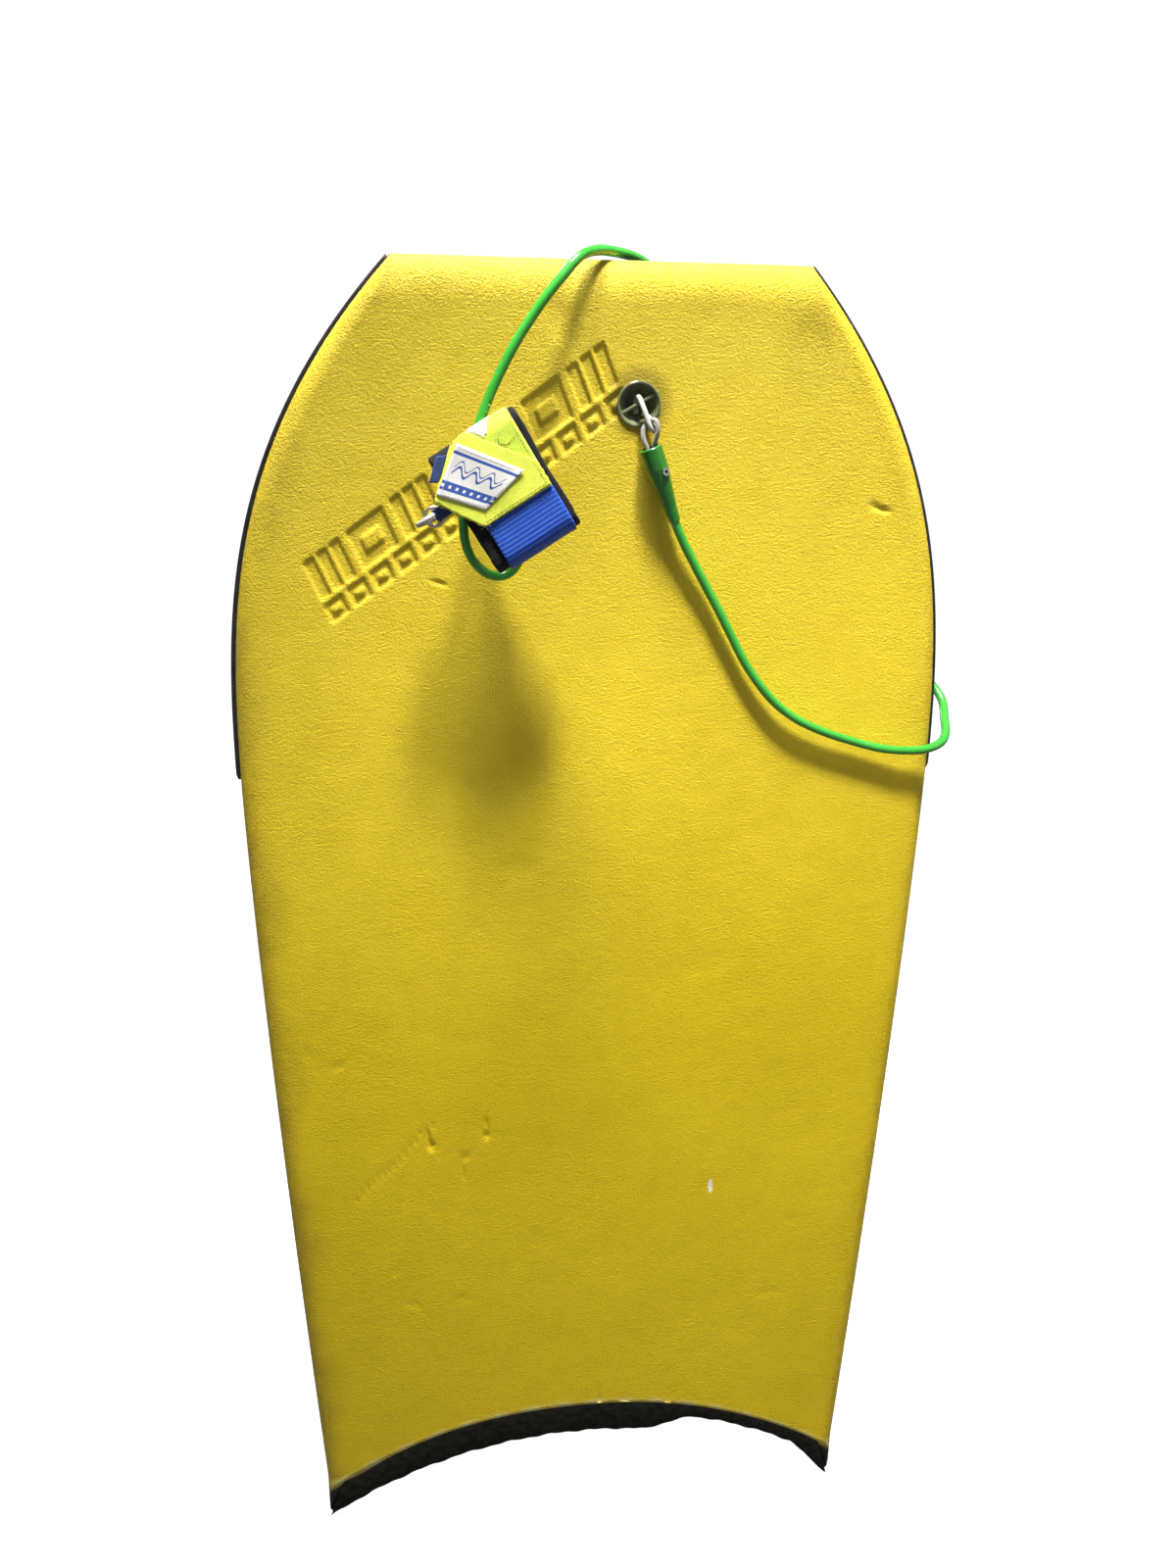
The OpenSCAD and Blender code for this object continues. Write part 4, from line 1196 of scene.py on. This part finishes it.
def ring_tab():
    """The blue tape that holds the ring, folded on itself around it."""
    root, reach, fold = -8.5, 13.5, 2.9
    total = 2 * reach + math.pi * fold
    v, way = grid(np.linspace(19.5, 27.5, 14), np.linspace(0, total, 40))
    a = clamp01((way - reach) / (math.pi * fold)) * math.pi
    u = root - np.minimum(np.minimum(way, total - way), reach) - fold * np.sin(a)
    out = 6.6 + fold * np.cos(a)
    middle = np.stack([u, v, out], -1)
    return add_cloth("cuff_ring_tape", middle, 0.9, np.stack([way, v], -1), TAB_BLUE, nodes=["cuff_ring_tab"],
                     slot="tab_blue")


def tubes(name, paths, radius, sides, material, body):
    """One piece of many short tubes along paths in the cuff's place."""
    points, faces = [], []
    for path in paths:
        tube, walls, _ = sweep(in_cuff(path), radius, sides)
        faces += [[e + len(points) for e in face] for face in walls]
        points += tube
    return add_mesh(name, points, faces, material, body=body)


def stitches(name, lines, material, length=2.4, gap=1.1, width=0.42, body="board"):
    """Rows of short raised stitches. Each line is a list of (across, up, out) points in the cuff's place."""
    paths = []
    for line in lines:
        line = np.asarray(line, float)
        gone = gone_along(line)
        for k in range(int(gone[-1] / (length + gap))):
            at = np.linspace(k * (length + gap), k * (length + gap) + length, 5)
            paths.append(np.stack([np.interp(at, gone, line[:, c]) for c in range(3)], 1))
    radius = width / 2 * np.array([0.45, 0.9, 1.0, 0.9, 0.45]) * MM
    return tubes(name, paths, radius, 6, material, body)


def on_flap(points, lift):
    """Points on the flap, lifted off its middle."""
    p = np.asarray(points, float)
    return np.column_stack([p, flap_out(p) + lift])


def threads(name, spots, material, seed, count, spread, length, body="board"):
    """Frayed ends: thin curved fibres about some places in the cuff, that lie nearly flat."""
    draw = np.random.default_rng(seed)
    flatten = np.array([1, 1, 0.4])
    paths = []
    for spot in spots:
        for _ in range(count):
            base = np.asarray(spot, float) + draw.normal(0, spread, 3) * np.array([1, 1, 0.15])
            way = draw.normal(0, 1, 3) * flatten
            way /= np.linalg.norm(way)
            bend = draw.normal(0, 0.5, 3) * flatten
            t = np.linspace(0, 1, 6)[:, None] * length * draw.uniform(0.5, 1.2)
            path = base + way * t + bend * t * t / length
            path[:, 2] = np.maximum(path[:, 2], base[2] - 0.1)
            paths.append(path)
    return tubes(name, paths, 0.13 * MM, 5, material, body)


cuff_pad_piece = pad()
webbing_piece = webbing()
strap_piece = strap()
tongue_piece = tongue()
flap_piece = flap()
label_piece = label()
tab_piece = tab()
patch_piece = torn_patch()
ring_tape = ring_tab()

TOP = FRONT + WEB_T
TAPE_TOP = 10.05


def seam(start, end, out):
    """A straight line of stitches, out from the cuff's middle."""
    return [(*start, out), (*end, out)]


webbing_stitches = stitches("webbing_edge_stitches", [
    seam((3, v), (51.5, v), TOP + 0.1) for v in (-2.3, -4.6)], BLUE_THREAD)
strap_stitches = stitches("strap_edge_stitches", [
    seam((51.3, 19), (51.3, 47), TOP + 0.05)], LIME_THREAD, 1.8, 0.9)
border = [(-13.6, 34.0), (13.0, 52.9), (39.2, 18.9), (7.0, 12.1), (-13.6, 34.0)]
label_line = np.concatenate([along_line(border[k:k + 2], 12) for k in range(4)])
label_stitches = stitches("label_stitches", [on_flap(label_line, WEB_T / 2 + 0.9)], PALE_THREAD,
                          1.9, 0.8, 0.36, "flap")
flap_line = along_line([(2.5, 3.0), (51.3, 3.6), (51.2, 17.0)], 30)
flap_stitches = stitches("flap_edge_stitches", [on_flap(flap_line, WEB_T / 2 + 0.12)], LIME_THREAD,
                         2.0, 1.0, 0.38, "flap")
stitches("ring_tape_stitches", [
    seam((u, 20.5), (u, 26.5), TAPE_TOP) for u in (-10.5, -13)], BLUE_THREAD, 1.6, 0.7)
frayed_top = threads("strap_frayed_ends", [(47, 57, 6.5), (44, 57.5, 5.5), (50, 56, 6)],
                     LIME_THREAD, 3, 12, 1.2, 4.5)
frayed_pile = threads("strap_loose_threads", [(38, 40, TOP + 0.2), (41, 37, TOP + 0.2), (36, 43, TOP + 0.2)],
                      LIME_THREAD, 5, 9, 1.6, 4.0)
frayed_dark = threads("strap_dark_threads", [(39, 39, TOP + 0.4)], BLACK_THREAD, 9, 5, 1.4, 3.4)
frayed_flap = threads("flap_frayed_ends", [(2, 1.0, FLAP_OUT), (-12, 18, FLAP_OUT), (-17, 27, FLAP_OUT)],
                      LIME_THREAD, 11, 9, 0.9, 2.6, "flap")

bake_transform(flap_piece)


# ---------------------------------------------------------------- stage and light
def stage_material():
    f = Finish("stage_paper", Roughness=0.9, Specular_IOR_Level=0.1)
    f.shader.inputs["Emission Color"].default_value = (1, 1, 1, 1)
    f.put(f.shader.inputs["Base Color"], f.ramp(f.noise(2.0), (0.3, 0.33), (0.7, 0.35)))
    glow = f.remap(f.vectors("LENGTH", f.place())["Value"], 0.30, 1.10, 0.90, 1.0)
    f.put(f.shader.inputs["Emission Strength"], glow)
    return f.material


FLOOR_R = 2.6
COVE_R = 1.2
WALL_HEIGHT = 5.0
FLOOR_DROP = 0.0006


def stage():
    """A round pale floor, just under the object, that curves up into a wall."""
    profile = [(COVE_R, 0.0), (FLOOR_R, 0.0)]
    profile += [(FLOOR_R + COVE_R * math.sin(a), COVE_R * (1 - math.cos(a)))
                for a in np.radians(np.linspace(6, 90, 15))]
    profile += [(FLOOR_R + COVE_R, WALL_HEIGHT)]
    sides = 96
    angles = np.arange(sides) * 2 * math.pi / sides
    points = [(0, 0, -FLOOR_DROP)]
    for r, z in profile:
        points += [(r * math.cos(a), r * math.sin(a), z - FLOOR_DROP) for a in angles]
    faces = [[0, 1 + k, 1 + (k + 1) % sides] for k in range(sides)]
    for ring in range(len(profile) - 1):
        low = [1 + ring * sides + k for k in range(sides)]
        faces += ring_faces([e + sides for e in low], low)
    mesh = bpy.data.meshes.new("floor")
    mesh.from_pydata(points, [], faces)
    mesh.shade_smooth()
    mesh.materials.append(stage_material())
    floor = bpy.data.objects.new("floor", mesh)
    bpy.context.scene.collection.objects.link(floor)
    floor.visible_diffuse = False
    floor.visible_glossy = False


def area_light(name, at, towards, size, power, colour=(1, 1, 1), spread=180):
    data = bpy.data.lights.new(name, "AREA")
    data.size = size
    data.spread = math.radians(spread)
    data.energy = power
    data.color = colour
    light = bpy.data.objects.new(name, data)
    bpy.context.scene.collection.objects.link(light)
    light.location = at
    light.rotation_euler = (Vector(towards) - Vector(at)).to_track_quat("-Z", "Y").to_euler()


stage()
area_light("ceiling_light", (0.08, -0.64, 2.65), (0.46, 0.0, 0.78), 0.24, 11.8, (1.0, 0.985, 0.95), 58)
area_light("nose_light", (-0.22, -0.24, 2.25), (-0.14, 0.0, 1.08), 0.40, 2.0, spread=30)
area_light("window_light", (1.35, -0.95, 1.55), (0.20, 0.0, 0.50), 0.9, 2.1, (1.0, 0.99, 0.97))
area_light("back_light", (-0.55, 2.2, 1.9), (0.0, 0.0, 0.6), 1.5, 34)
world = bpy.data.worlds.new("world")
bpy.context.scene.world = world
world.use_nodes = True
sky = world.node_tree.nodes["Background"].inputs
sky["Color"].default_value = (1, 1, 1, 1)
sky["Strength"].default_value = 0.23
bpy.context.scene.view_settings.view_transform = "Standard"

bpy.context.view_layer.update()
